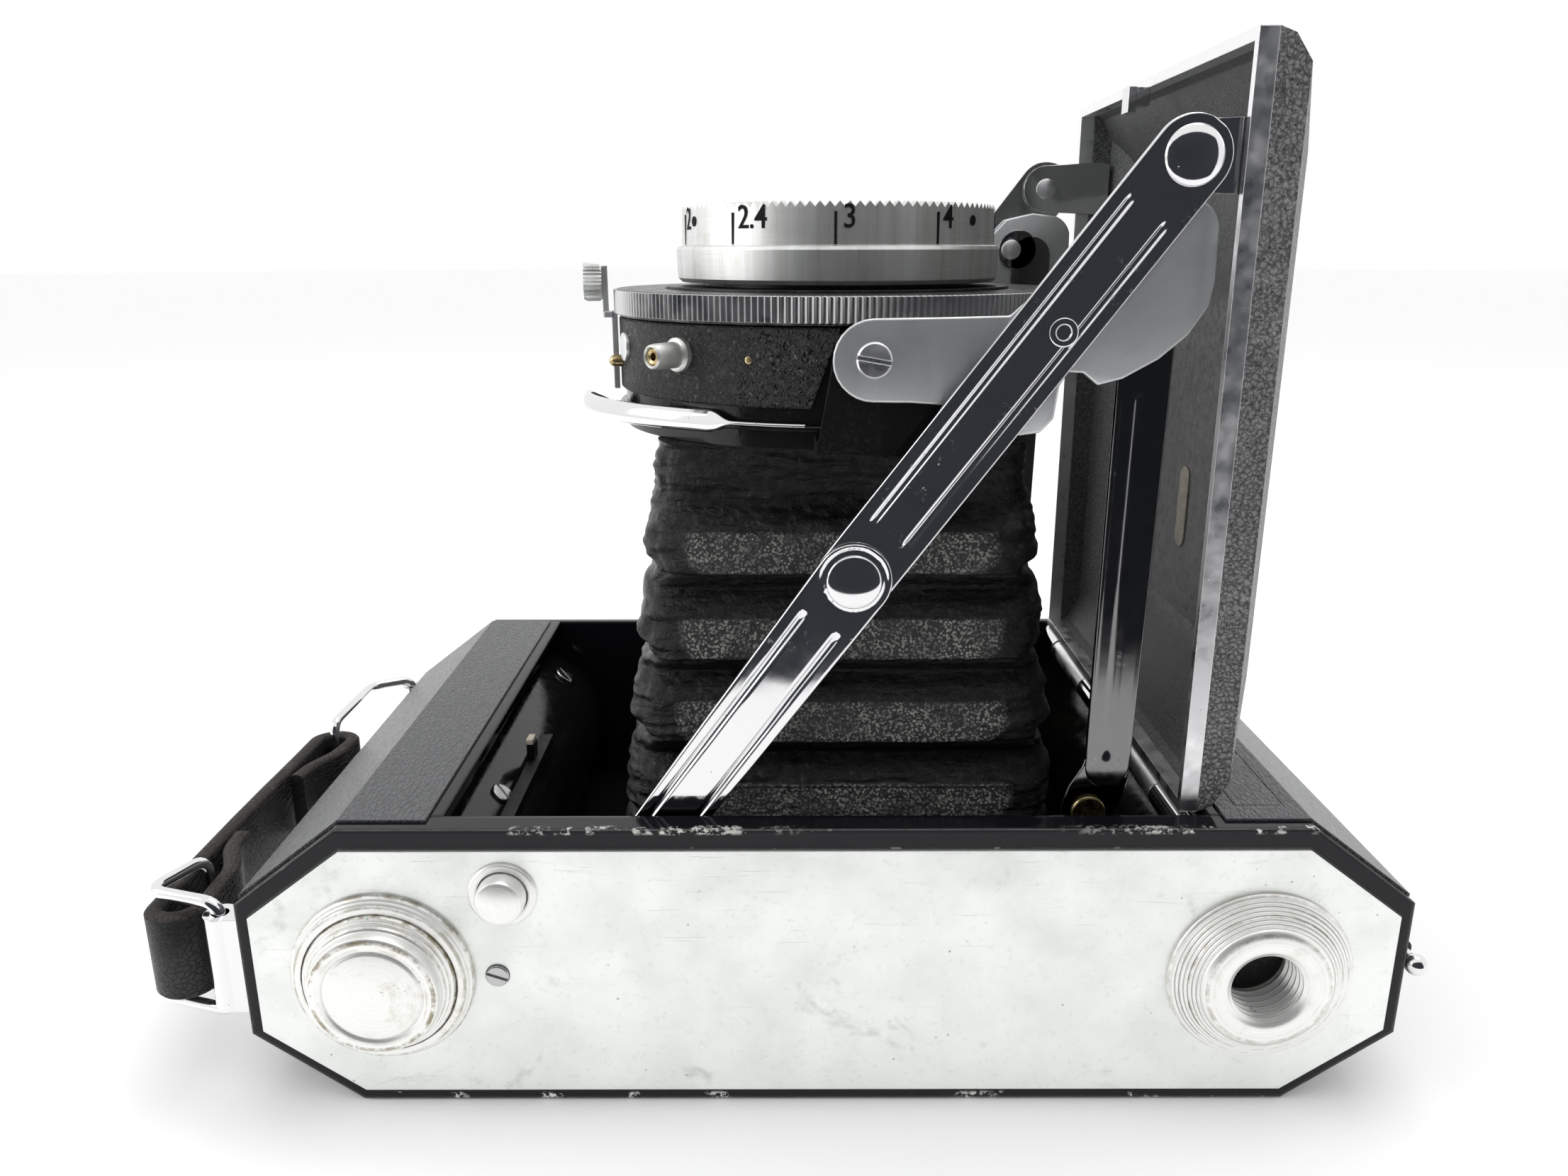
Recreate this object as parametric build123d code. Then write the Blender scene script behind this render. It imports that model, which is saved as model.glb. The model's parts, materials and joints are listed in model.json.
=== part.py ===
from build123d import *
import os

# Folding roll-film camera, lying on its back with the lens board extended.
# Frame: origin at the centre of the back's resting face, +Z along the lens,
# +Y towards the camera's top, +X towards the door hinge. Millimetres.

# Body: an octagonal prism along Y
BODY_HALF_X = 67.3
BODY_HALF_Y = 38.4
BODY_FRONT_Z = 36.0
BODY_BACK_Z = 0.3
FLAT_HALF_X = 55.0
SIDE_LOW_Z = 9.4
SIDE_HIGH_Z = 26.6
WALL = 1.4
LEATHER = 0.3
SPLIT_Z = 17.6

# Front opening and bellows well
MID_Y = 1.0
WELL_HALF_Y = 36.1
WALL_Y = (-35.1, 36.9)
OPENING_X = (-43.5, 43.8)
FRONT_HALF_X = 54.4
GATE_Z = (7.2, 8.0)
LENS_X = 2.4

# Spool chambers
SPOOL_X = 50.6
SPOOL_Z = 17.6
CHAMBER_R = 13.3
CHAMBER_WALL = 0.7

# Bottom plate fittings
PLATE_Y = (-38.8, -38.0)
FILM_KNOB_X = -50.9
TRIPOD_X = 50.3
TRIPOD_BORE_R = 4.1
TRIPOD_MOUTH_Y = -42.0
TRIPOD_DEPTH = 6.4
BUTTON_X = -36.4
BUTTON_Z = 28.2
BUTTON_R = 2.8
SCREWS = [(-37.7, 17.6)]

# Door and its hinge, in the open pose
HINGE_X = 41.6
HINGE_Z = 34.0
DOOR_IN_X = 41.0
DOOR_RIM_X = 43.0
DOOR_OUT_X = 51.6
DOOR_LOW_Z = 35.9
DOOR_TOP_Z = 118.6
DOOR_HALF_Y = 35.0
DOOR_WALL = 0.8
DOOR_SIDE_X = 46.4
DOOR_FACE_HALF_Y = 24.0

# Strut pivots (x, z)
PIVOT_DOOR = (36.0, 107.0)
PIVOT_MID = (3.1, 63.5)
PIVOT_ROOT = (-25.1, 24.8)
PIVOT_RIVET = (24.3, 89.9)
PIVOT_STANDARD = (5.0, 87.0)
PIVOT_ARM = (31.3, 34.4)
PIVOT_ARM_TOP = (30.8, 98.0)
RUNNING = 0.05

# Linkage sheets, as distances either side of MID_Y
LOWER_SHEET = (34.6, 35.2)
UPPER_SHEET = (33.8, 34.4)
EAR_SHEET = (33.0, 33.6)
BRACKET_SHEET = (32.2, 32.8)
ARM_SHEET = (31.4, 32.0)
LUG_SHEET = (30.2, 31.1)
POST_SHEET = (30.5, 31.2)

# Lens standard
BASE_Z = (76.6, 78.8)
HOUSING_Z = (78.8, 90.0)
STANDARD_R = 27.6
HOUSING_R = 28.2
SPEED_Z = (90.2, 93.4)
SPEED_R = 28.8
NECK_R = 22.0
BARREL_R = 17.0
FOCUS_Z = (94.2, 103.4)
FOCUS_R = 19.9

# Back cover hinge
BACK_HINGE_X = 68.7
BACK_HINGE_Z = 18.4
COVER_Y = (-36.5, 36.7)
RED_WINDOW_X = (17.0, 27.0)
RED_WINDOW_Y = (-4.0, 6.0)

# Top housing and wind knob
TOP_Y = 53.0
TOP_X = (-58.0, 38.0)
TOP_Z = (6.0, 29.5)
FINDER_X = (-3.6, 8.4)
FINDER_Y = (41.5, 50.5)
EYE_X = 2.4
RANGE_X = -26.0
RELEASE_X = -44.0

# Strap
STRAP_Z = (12.8, 24.0)
LUG_X = -69.9
LUG_Y = 36.6


def block(x, y, z):
    """A box from its three (low, high) spans."""
    centre = ((x[0] + x[1]) / 2, (y[0] + y[1]) / 2, (z[0] + z[1]) / 2)
    return Pos(*centre) * Box(x[1] - x[0], y[1] - y[0], z[1] - z[0])


def plate_xz(face, y):
    """A face drawn in (x, z), made solid across the span y."""
    solid = extrude(face, amount=y[1] - y[0], dir=(0, 0, 1))
    return Pos(0, y[1], 0) * Rot(90, 0, 0) * solid


def rod_y(x, z, r, y):
    """A round bar along Y."""
    return plate_xz(Pos(x, z) * Circle(r), y)


def rod_z(x, y, r, z):
    """A round bar along Z."""
    return Pos(x, y, (z[0] + z[1]) / 2) * Cylinder(r, z[1] - z[0])


def tube_y(x, z, r, bore, y):
    """A round tube along Y."""
    return plate_xz(Pos(x, z) * (Circle(r) - Circle(bore)), y)


def tube_z(x, y, r, bore, z):
    """A round tube along Z."""
    return rod_z(x, y, r, z) - rod_z(x, y, bore, z)


def outline(points):
    """A closed polygon through the given points."""
    return Polygon(*points, align=None)


def capsule(a, b, r):
    """A strip with round ends about two points."""
    run = Vector(b[0] - a[0], b[1] - a[1])
    angle = Vector(1, 0).get_signed_angle(run)
    middle = ((a[0] + b[0]) / 2, (a[1] + b[1]) / 2)
    return Pos(*middle) * Rot(0, 0, angle) * SlotCenterToCenter(run.length, 2 * r)


def taper_strip(a, b, ra, rb):
    """A strip whose round ends differ in radius."""
    ends = (Pos(*a) * Circle(ra)).edges() + (Pos(*b) * Circle(rb)).edges()
    return make_hull(ends)


def sheet(face, span, side):
    """A face made solid in one linkage sheet; side is -1 near the bottom plate, +1 near the top."""
    if side < 0:
        return plate_xz(face, (MID_Y - span[1], MID_Y - span[0]))
    return plate_xz(face, (MID_Y + span[0], MID_Y + span[1]))


def disc(at, r, span, side):
    """A round boss in one linkage sheet."""
    return sheet(Pos(*at) * Circle(r), span, side)


def dome(at, r, span, side):
    """A low domed rivet head standing on the outer face of a sheet."""
    height = span[1] - span[0]
    ball_r = (r * r + height * height) / (2 * height)
    centre_y = MID_Y + side * (span[1] - ball_r)
    ball = Pos(at[0], centre_y, at[1]) * Sphere(ball_r)
    return ball & disc(at, r, span, side)


def octagon(grow):
    """The body's section in (x, z), grown outwards by an amount."""
    half, flat = BODY_HALF_X + grow, FLAT_HALF_X + 0.4 * grow
    low, high = SIDE_LOW_Z - 0.4 * grow, SIDE_HIGH_Z + 0.4 * grow
    back, front = BODY_BACK_Z - grow, BODY_FRONT_Z + grow
    right = [(flat, back), (half, low), (half, high), (flat, front)]
    left = [(-x, z) for x, z in reversed(right)]
    return outline(right + left)


def body_band(outer, inner, y):
    """The layer of the octagon between two offsets."""
    return plate_xz(octagon(outer) - octagon(inner), y)


def wire(points, r):
    """A bent wire: straight runs with ball corners."""
    solid = Pos(*points[0]) * Sphere(r)
    for start, end in zip(points, points[1:]):
        run = Vector(*end) - Vector(*start)
        place = Plane(origin=start, z_dir=run)
        solid += place * extrude(Circle(r), run.length)
        solid += Pos(*end) * Sphere(r)
    return solid


def outer_shell():
    """The pressed body before it is parted into its side walls and end walls."""
    well_y = (MID_Y - WELL_HALF_Y, MID_Y + WELL_HALF_Y)
    shell = plate_xz(octagon(0), (-BODY_HALF_Y, BODY_HALF_Y))
    shell -= plate_xz(octagon(-WALL), well_y)
    shell -= block((-FRONT_HALF_X, FRONT_HALF_X), well_y, (BODY_FRONT_Z - 3, BODY_FRONT_Z + 1))
    rebate = body_band(1, -WALL, (COVER_Y[0] - 0.2, COVER_Y[1] + 0.2))
    shell -= rebate & block((-80, 80), (-50, 50), (-5, SPLIT_Z + 0.2))
    shell -= plate_xz(bottom_outline(0.05), (-50, PLATE_Y[1]))
    shell -= rod_y(FILM_KNOB_X, SPOOL_Z, 3.0, (-50, -30))
    shell -= rod_y(TRIPOD_X, SPOOL_Z, 5.0, (-50, -30))
    shell -= rod_y(BUTTON_X, BUTTON_Z, BUTTON_R + 0.1, (-50, -30))
    shell -= rod_y(SPOOL_X, SPOOL_Z, 2.6, (30, 50))
    shell -= rod_y(BACK_HINGE_X, BACK_HINGE_Z, 0.7, (-50, 50))
    return shell


def body_shell():
    """The left and right walls, with the back's hinge knuckles on the right one."""
    walls = outer_shell() & block((-80, 80), WALL_Y, (-5, 50))
    knuckle = tube_y(BACK_HINGE_X, BACK_HINGE_Z, 1.2, 0.65, (12.4, 34.9))
    web = block((66.4, 68.2), (12.4, 34.9), (18.4, 19.4))
    web -= rod_y(BACK_HINGE_X, BACK_HINGE_Z, 0.65, (10, 40))
    walls += knuckle + web
    walls += mirror(knuckle + web, about=Plane.XZ)
    return walls


def end_walls():
    """The two octagonal ends of the body."""
    return outer_shell() - block((-80, 80), WALL_Y, (-5, 50))


def front_frame():
    """The two strips of the front that flank the opening."""
    y = (MID_Y - WELL_HALF_Y, MID_Y + WELL_HALF_Y)
    z = (BODY_FRONT_Z - WALL, BODY_FRONT_Z)
    return block((-FRONT_HALF_X, OPENING_X[0]), y, z) + block((OPENING_X[1], FRONT_HALF_X), y, z)


def bottom_outline(grow):
    right = [(54.5, 1.8), (65.8, 10.0), (65.8, 25.0), (54.5, 33.5)]
    left = [(-x, z) for x, z in reversed(right)]
    return offset(outline(right + left), amount=grow) if grow else outline(right + left)


def film_chamber():
    well_y = (MID_Y - WELL_HALF_Y, MID_Y + WELL_HALF_Y)
    outer = CHAMBER_R + CHAMBER_WALL
    gate_half = SPOOL_X - 9.2
    chamber = block((-gate_half, gate_half), well_y, GATE_Z)
    for side in (-1, 1):
        x = side * SPOOL_X
        wall = tube_y(x, SPOOL_Z, outer, CHAMBER_R, well_y)
        inward = (0, SPOOL_X) if side > 0 else (-SPOOL_X, 0)
        chamber += wall & block(inward, well_y, (GATE_Z[0], BODY_FRONT_Z))
        stem = (x - 0.4, x + 0.4)
        chamber += block(stem, well_y, (SPOOL_Z + CHAMBER_R, BODY_FRONT_Z - WALL))
    chamber -= block((LENS_X - 28, LENS_X + 28), (MID_Y - 28, MID_Y + 28), (0, 20))
    for side in (-1, 1):
        rail_y = MID_Y + side * 29.2
        chamber += block((-34, 36), (rail_y - 0.6, rail_y + 0.6), (GATE_Z[0] - 0.4, GATE_Z[0]))
    return chamber


def bottom_plate():
    plate = plate_xz(bottom_outline(0), PLATE_Y)
    plate -= rod_y(FILM_KNOB_X, SPOOL_Z, 3.1, (-50, -30))
    plate -= rod_y(TRIPOD_X, SPOOL_Z, 5.0, (-50, -30))
    plate -= rod_y(BUTTON_X, BUTTON_Z, BUTTON_R + 0.1, (-50, -30))
    for x, z in SCREWS:
        plate -= rod_y(x, z, 1.4, (-50, PLATE_Y[0] + 0.3))
    return plate


def bottom_screws():
    heads = Part()
    for x, z in SCREWS:
        head = rod_y(x, z, 1.38, (PLATE_Y[0] - 0.3, PLATE_Y[0] + 0.3))
        slot = block((-1.6, 1.6), (PLATE_Y[0] - 0.5, PLATE_Y[0] - 0.05), (-0.2, 0.2))
        heads += head - Pos(x, 0, z) * Rot(0, 25, 0) * slot
    return heads


def tripod_socket():
    socket = rod_y(TRIPOD_X, SPOOL_Z, 10.6, (-39.8, PLATE_Y[0]))
    socket += rod_y(TRIPOD_X, SPOOL_Z, 9.2, (-41.0, -39.8))
    socket += rod_y(TRIPOD_X, SPOOL_Z, 7.6, (TRIPOD_MOUTH_Y, -41.0))
    socket += rod_y(TRIPOD_X, SPOOL_Z, 5.0, (PLATE_Y[0], -34.6))
    bore_end = TRIPOD_MOUTH_Y + TRIPOD_DEPTH
    return socket - rod_y(TRIPOD_X, SPOOL_Z, TRIPOD_BORE_R, (TRIPOD_MOUTH_Y - 1, bore_end))


def bottom_collars():
    collars = tube_y(FILM_KNOB_X, SPOOL_Z, 10.5, 9.0, (-39.8, PLATE_Y[0]))
    collars += tube_y(FILM_KNOB_X, SPOOL_Z, 9.9, 9.0, (-40.4, -39.8))
    return collars + tube_y(BUTTON_X, BUTTON_Z, 3.8, BUTTON_R + 0.1, (-39.2, PLATE_Y[0]))


def film_knob():
    knob = rod_y(FILM_KNOB_X, SPOOL_Z, 8.8, (-41.2, -39.0))
    knob += rod_y(FILM_KNOB_X, SPOOL_Z, 7.6, (-43.0, -41.2))
    knob -= tube_y(FILM_KNOB_X, SPOOL_Z, 5.7, 5.3, (-44.0, -42.7))
    return knob + rod_y(FILM_KNOB_X, SPOOL_Z, 2.9, (-39.0, -30.5))


def door_button():
    button = rod_y(BUTTON_X, BUTTON_Z, BUTTON_R, (-41.2, -36.3))
    return button + rod_y(-38.0, BUTTON_Z, 0.9, (-36.3, -34.5))


def door_catch():
    bar = block((-40.6, -38.8), (-34.5, 4.0), (27.6, 29.2))
    bar += block((-40.6, -37.2), (-34.5, -32.5), (27.6, 29.2))
    return bar + block((-40.6, -39.6), (-5.4, -3.0), (29.2, 31.6))


def leather_side(side):
    band = body_band(LEATHER, 0, (-36.6, 36.8))
    if side < 0:
        return band & block((-80, -45.1), (-50, 50), (SPLIT_Z + 0.4, 50))
    return band & block((45.4, 80), (-50, 50), (BACK_HINGE_Z + 1.6, 50))


def top_housing():
    housing = block(TOP_X, (BODY_HALF_Y, TOP_Y), TOP_Z)
    housing = fillet(housing.edges().filter_by(Axis.Y), 5.0)
    top_edges = housing.faces().sort_by(Axis.Y)[-1].edges()
    housing = fillet(top_edges, 1.6)
    inside = block(
        (TOP_X[0] + 1, TOP_X[1] - 1), (BODY_HALF_Y - 1, TOP_Y - 1), (TOP_Z[0] + 1, TOP_Z[1] - 1)
    )
    housing -= fillet(inside.edges().filter_by(Axis.Y), 4.0)
    housing -= block(FINDER_X, FINDER_Y, (20, 40))
    housing -= rod_z(EYE_X, 46.0, 3.2, (0, 10))
    housing -= rod_z(RANGE_X, 46.0, 2.6, (20, 40))
    return housing - rod_y(RELEASE_X, SPOOL_Z, 3.5, (50, 60))


def finder_glass():
    glass = block(FINDER_X, FINDER_Y, (TOP_Z[1] - 1.0, TOP_Z[1] - 0.2))
    glass += rod_z(EYE_X, 46.0, 3.2, (TOP_Z[0] + 0.2, TOP_Z[0] + 1.0))
    return glass + rod_z(RANGE_X, 46.0, 2.6, (TOP_Z[1] - 1.0, TOP_Z[1] - 0.2))


def accessory_shoe():
    z = (9.0, 27.0)
    shoe = block((-8.6, 13.4), (TOP_Y, TOP_Y + 0.8), z)
    for low, high, lip in ((-8.6, -7.8, (-8.6, -4.6)), (12.6, 13.4, (9.4, 13.4))):
        shoe += block((low, high), (TOP_Y, TOP_Y + 3.6), z)
        shoe += block(lip, (TOP_Y + 2.9, TOP_Y + 3.6), z)
    return shoe


def body_release():
    button = rod_y(RELEASE_X, SPOOL_Z, 3.4, (50.4, 55.8))
    return button - rod_y(RELEASE_X, SPOOL_Z, 1.2, (54.6, 57))


def wind_knob():
    knob = rod_y(SPOOL_X, SPOOL_Z, 9.6, (39.0, 49.6))
    for index in range(24):
        turn = Pos(SPOOL_X, 0, SPOOL_Z) * Rot(0, index * 15, 0)
        knob -= turn * Pos(9.9, 44.5, 0) * Rot(90, 0, 0) * Cylinder(0.7, 8.4)
    knob += rod_y(SPOOL_X, SPOOL_Z, 7.4, (49.6, 50.4))
    return knob + rod_y(SPOOL_X, SPOOL_Z, 2.5, (33.0, 39.0))


def takeup_spool():
    spool = rod_y(SPOOL_X, SPOOL_Z, 3.6, (-30.0, 32.1))
    spool += rod_y(SPOOL_X, SPOOL_Z, 12.4, (-30.9, -30.0))
    spool += rod_y(SPOOL_X, SPOOL_Z, 12.4, (32.1, 33.0))
    return spool - block((SPOOL_X - 0.5, SPOOL_X + 0.5), (-20, 22), (10, 26))


def linkage_anchors():
    anchors = Part()
    for side in (-1, 1):
        anchors += disc(PIVOT_ROOT, 1.5, (LOWER_SHEET[0], WELL_HALF_Y), side)
        anchors += disc(PIVOT_ROOT, 2.4, (LOWER_SHEET[1] + 0.1, WELL_HALF_Y), side)
        x, z = PIVOT_ARM
        post = outline([(x - 1.6, GATE_Z[1]), (x + 4.0, GATE_Z[1]), (x + 2.2, z), (x - 2.2, z)])
        anchors += sheet(post, POST_SHEET, side) + disc(PIVOT_ARM, 2.2, POST_SHEET, side)
        anchors += disc(PIVOT_ARM, 1.3, (POST_SHEET[1], ARM_SHEET[1] + 0.1), side)
        anchors += disc(PIVOT_ARM, 1.95, (ARM_SHEET[1] + 0.1, ARM_SHEET[1] + 0.6), side)
    return anchors


def lower_strut(side):
    strut = sheet(taper_strip(PIVOT_MID, PIVOT_ROOT, 4.2, 3.4), LOWER_SHEET, side)
    return strut - disc(PIVOT_ROOT, 1.5 + RUNNING, (30, 40), side)


def mid_rivets():
    span = (LOWER_SHEET[1], LOWER_SHEET[1] + 0.6)
    return dome(PIVOT_MID, 3.0, span, -1) + dome(PIVOT_MID, 3.0, span, 1)


def upper_strut(side):
    strut = sheet(taper_strip(PIVOT_DOOR, PIVOT_MID, 4.0, 4.2), UPPER_SHEET, side)
    strut -= disc(PIVOT_DOOR, 1.5 + RUNNING, (30, 40), side)
    return strut - disc(PIVOT_RIVET, 1.4, (30, 40), side)


def hollow_rivets():
    rivets = Part()
    for side in (-1, 1):
        rivet = disc(PIVOT_RIVET, 1.4, (BRACKET_SHEET[0], UPPER_SHEET[1] + 0.1), side)
        rivets += rivet - disc(PIVOT_RIVET, 0.75, (30, 40), side)
    return rivets


def door_ears():
    ears = Part()
    for side in (-1, 1):
        ear = sheet(taper_strip(PIVOT_DOOR, (44.0, 107.0), 3.4, 3.8), EAR_SHEET, side)
        ear &= block((30, 45.6), (-50, 50), (100, 115))
        foot = block((43.4, 45.6), (33.0, 33.9), (104.0, 110.0))
        foot = Pos(0, MID_Y, 0) * (foot if side > 0 else mirror(foot, about=Plane.XZ))
        ears += ear + foot
    return ears


def door_pins():
    pins = Part()
    for side in (-1, 1):
        pins += disc(PIVOT_DOOR, 1.5, (EAR_SHEET[1], UPPER_SHEET[1] + 0.1), side)
        head = (UPPER_SHEET[1] + 0.1, UPPER_SHEET[1] + 0.7)
        pins += dome(PIVOT_DOOR, 2.9, head, side)
    return pins


def bracket(side):
    points = [
        (5.0, 82.6), (15.0, 82.1), (20.6, 79.0), (24.2, 80.8), (25.6, 84.8), (27.6, 84.2),
        (32.2, 86.0), (37.2, 89.4), (39.7, 93.8), (39.4, 98.0), (37.0, 103.0), (30.0, 102.5),
        (19.0, 91.4), (5.0, 91.2),
    ]
    face = outline(points) + Pos(5.0, 86.9) * Circle(4.3)
    wing = sheet(face, BRACKET_SHEET, side)
    wing -= disc(PIVOT_RIVET, 1.4 + RUNNING, (30, 40), side)
    return wing - disc(PIVOT_STANDARD, 1.1 + RUNNING, (30, 40), side)


def bracket_screws():
    screws = Part()
    head_span = (BRACKET_SHEET[1] + 0.1, BRACKET_SHEET[1] + 0.6)
    for side in (-1, 1):
        screw = disc(PIVOT_STANDARD, 1.1, (LUG_SHEET[1], head_span[0]), side)
        screw += disc(PIVOT_STANDARD, 1.9, head_span, side)
        slot = block((-2.2, 2.2), (-50, 50), (-0.2, 0.2))
        slot = Pos(PIVOT_STANDARD[0], 0, PIVOT_STANDARD[1]) * Rot(0, 45, 0) * slot
        screw -= slot & disc(PIVOT_STANDARD, 2.5, (head_span[0] + 0.25, 40), side)
        screws += screw
    return screws


def side_arm(side):
    points = [
        (31.0, 96.0), (30.9, 44.0), (28.6, 39.0), (28.0, 34.0), (34.6, 33.0), (35.9, 36.0),
        (36.0, 44.0), (36.5, 84.0), (36.2, 93.0), (33.6, 99.4),
    ]
    face = outline(points)
    face += Pos(*PIVOT_ARM) * Circle(3.3)
    face += Pos(*PIVOT_ARM_TOP) * Circle(3.0)
    arm = sheet(face, ARM_SHEET, side)
    arm += disc(PIVOT_ARM_TOP, 1.5, (ARM_SHEET[0] - 0.35, ARM_SHEET[0]), side)
    return arm - disc(PIVOT_ARM, 1.3 + RUNNING, (30, 40), side)


def door_hinge_pin():
    pin = rod_y(HINGE_X, HINGE_Z, 0.8, (-34.4, 36.2))
    for y in ((-34.6, -26.0), (-8.0, 10.0), (28.0, 36.4)):
        knuckle = tube_y(HINGE_X, HINGE_Z, 1.6, 0.8, y)
        leaf = block((HINGE_X, OPENING_X[1]), y, (33.6, 35.2))
        pin += knuckle + leaf - rod_y(HINGE_X, HINGE_Z, 0.8, (-40, 40))
    return pin


def door_section(inset):
    """The door's tray in (x, z): a bevelled outer face, grown inwards by an amount."""
    low, top = DOOR_LOW_Z + inset, DOOR_TOP_Z - inset
    out = DOOR_OUT_X - inset
    return outline([
        (DOOR_RIM_X, low), (44.6 - 0.4 * inset, low + 0.6), (out, low + 12.5),
        (out, top - 10.5), (44.6 - 0.4 * inset, top - 0.6), (DOOR_RIM_X, top),
    ])


def door_form(inset):
    """The door's outer form: a tray bevelled on all four sides, grown inwards by an amount."""
    half = DOOR_HALF_Y - inset
    out = DOOR_OUT_X - inset
    face_half = DOOR_FACE_HALF_Y - 0.4 * inset
    side_x = DOOR_SIDE_X - 0.4 * inset
    upper = [(DOOR_RIM_X, half), (DOOR_RIM_X, -half), (side_x, -half), (out, -face_half)]
    plan = outline(upper + [(out, face_half), (side_x, half)])
    tall = Pos(0, MID_Y, 0) * extrude(plan, DOOR_TOP_Z + 1)
    return tall & plate_xz(door_section(inset), (MID_Y - half, MID_Y + half))


def door_pan():
    return door_form(LEATHER) - door_form(LEATHER + DOOR_WALL)


def door_leather():
    return door_form(0) - door_form(LEATHER)


def door_rim():
    y = (MID_Y - DOOR_HALF_Y, MID_Y + DOOR_HALF_Y)
    rim = block((DOOR_IN_X, DOOR_RIM_X), y, (DOOR_LOW_Z, DOOR_TOP_Z))
    hollow_y = (y[0] + 1.0, y[1] - 1.0)
    rim -= block((DOOR_IN_X - 1, DOOR_RIM_X + 1), hollow_y, (DOOR_LOW_Z + 1.2, DOOR_TOP_Z - 1.2))
    for span in ((-25.6, -8.4), (10.4, 27.6)):
        knuckle = tube_y(HINGE_X, HINGE_Z, 1.5, 0.8 + RUNNING, span)
        leaf = block((HINGE_X, DOOR_RIM_X), span, (HINGE_Z, DOOR_LOW_Z + 0.4))
        rim += knuckle + leaf - rod_y(HINGE_X, HINGE_Z, 0.8 + RUNNING, (-40, 40))
    return rim


def door_latch_hook():
    hook = block((38.2, 41.0), (0.2, 2.4), (115.2, 117.4))
    return hook + block((38.2, 39.2), (-0.4, 2.4), (114.4, 117.4))


def standard_plate():
    plate = tube_z(LENS_X, MID_Y, STANDARD_R, 15.0, BASE_Z)
    for side in (-1, 1):
        lug = sheet(outline([(-1.0, BASE_Z[0]), (18.0, BASE_Z[0]), (16.0, 89.5), (1.2, 89.5)]),
                    LUG_SHEET, side)
        shelf = block((-1.0, 18.0), (20.0, LUG_SHEET[1]), (BASE_Z[0], BASE_Z[1] - 0.6))
        plate += lug
        plate += Pos(0, MID_Y, 0) * (shelf if side > 0 else mirror(shelf, about=Plane.XZ))
    return plate


def shutter_housing():
    inside = tube_z(LENS_X, MID_Y, HOUSING_R - 1.6, BARREL_R - 1, (70, HOUSING_Z[1] - 1.5))
    return tube_z(LENS_X, MID_Y, HOUSING_R, BARREL_R, HOUSING_Z) - inside


def lens_barrel():
    barrel = tube_z(LENS_X, MID_Y, BARREL_R, 13.5, (BASE_Z[1], 102.4))
    barrel += tube_z(LENS_X, MID_Y, NECK_R, BARREL_R, (HOUSING_Z[1], SPEED_Z[1] + 0.3))
    barrel += tube_z(LENS_X, MID_Y, 13.5, 10.5, (98.6, 100.0))
    return barrel + tube_z(LENS_X, MID_Y, 13.5, 8.5, (80.0, 81.0))


def lens_elements():
    front = rod_z(LENS_X, MID_Y, 10.5, (97.6, 100.4)) + rod_z(LENS_X, MID_Y, 13.3, (97.4, 98.6))
    return front + rod_z(LENS_X, MID_Y, 8.5, (79.4, 81.6))


def shutter_blades():
    blades = Part()
    for index in range(3):
        lift = 88.0 + 0.25 * index
        sector = rod_z(0, 0, 13.2, (lift, lift + 0.2)) & block((0, 14), (-14, 14), (80, 95))
        blades += Pos(LENS_X, MID_Y, 0) * Rot(0, 0, 120 * index) * sector
    return blades


def speed_ring():
    ring = tube_z(LENS_X, MID_Y, SPEED_R, NECK_R + 0.1, SPEED_Z)
    count = 90
    for index in range(count):
        turn = Pos(LENS_X, MID_Y, 0) * Rot(0, 0, index * 360 / count)
        ring -= turn * Pos(SPEED_R + 0.25, 0, 91.8) * Cylinder(0.5, 4.0)
    return ring


def focus_ring():
    ring = tube_z(LENS_X, MID_Y, FOCUS_R + 0.6, BARREL_R + 0.1, (FOCUS_Z[0], FOCUS_Z[0] + 4.3))
    return ring + tube_z(LENS_X, MID_Y, FOCUS_R, BARREL_R + 0.1, (FOCUS_Z[0] + 4.3, FOCUS_Z[1]))


def lever_arc(inner, outer, start, end, z):
    """A flat ring segment about the lens axis, between two angles in degrees."""
    angles = (start, (start + end) / 2, end)
    reach = [Vector(60, 0).rotate(Axis.Z, angle) for angle in angles]
    wedge = outline([(0, 0)] + [(point.X, point.Y) for point in reach])
    ring = (Circle(outer) - Circle(inner)) & wedge
    return Pos(LENS_X, MID_Y, z[0]) * extrude(ring, z[1] - z[0])


def aperture_lever():
    lever = lever_arc(31.0, 33.4, 188, 226, (78.3, 80.6))
    return lever + lever_arc(28.6, 31.2, 222, 246, (78.5, 80.3))


def cocking_lever():
    post = lever_arc(28.6, 29.8, 184, 191, (81.0, 90.0))
    post += lever_arc(28.6, 30.9, 184, 191, (89.6, 90.6)) - rod_z(LENS_X, MID_Y, SPEED_R + 0.3, (80, 99))
    post += lever_arc(29.6, 30.8, 184, 191, (89.6, 96.6))
    angle = 187.5
    knob = Pos(LENS_X, MID_Y, 94.3) * Rot(0, 0, angle) * Pos(31.8, 0, 0) * Rot(0, 90, 0)
    return post + knob * Cylinder(2.45, 2.4)


def release_lever():
    tab = lever_arc(28.6, 32.6, 52, 60, (83.0, 84.2))
    return tab + lever_arc(31.6, 32.6, 50, 62, (81.4, 88.0))


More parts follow.
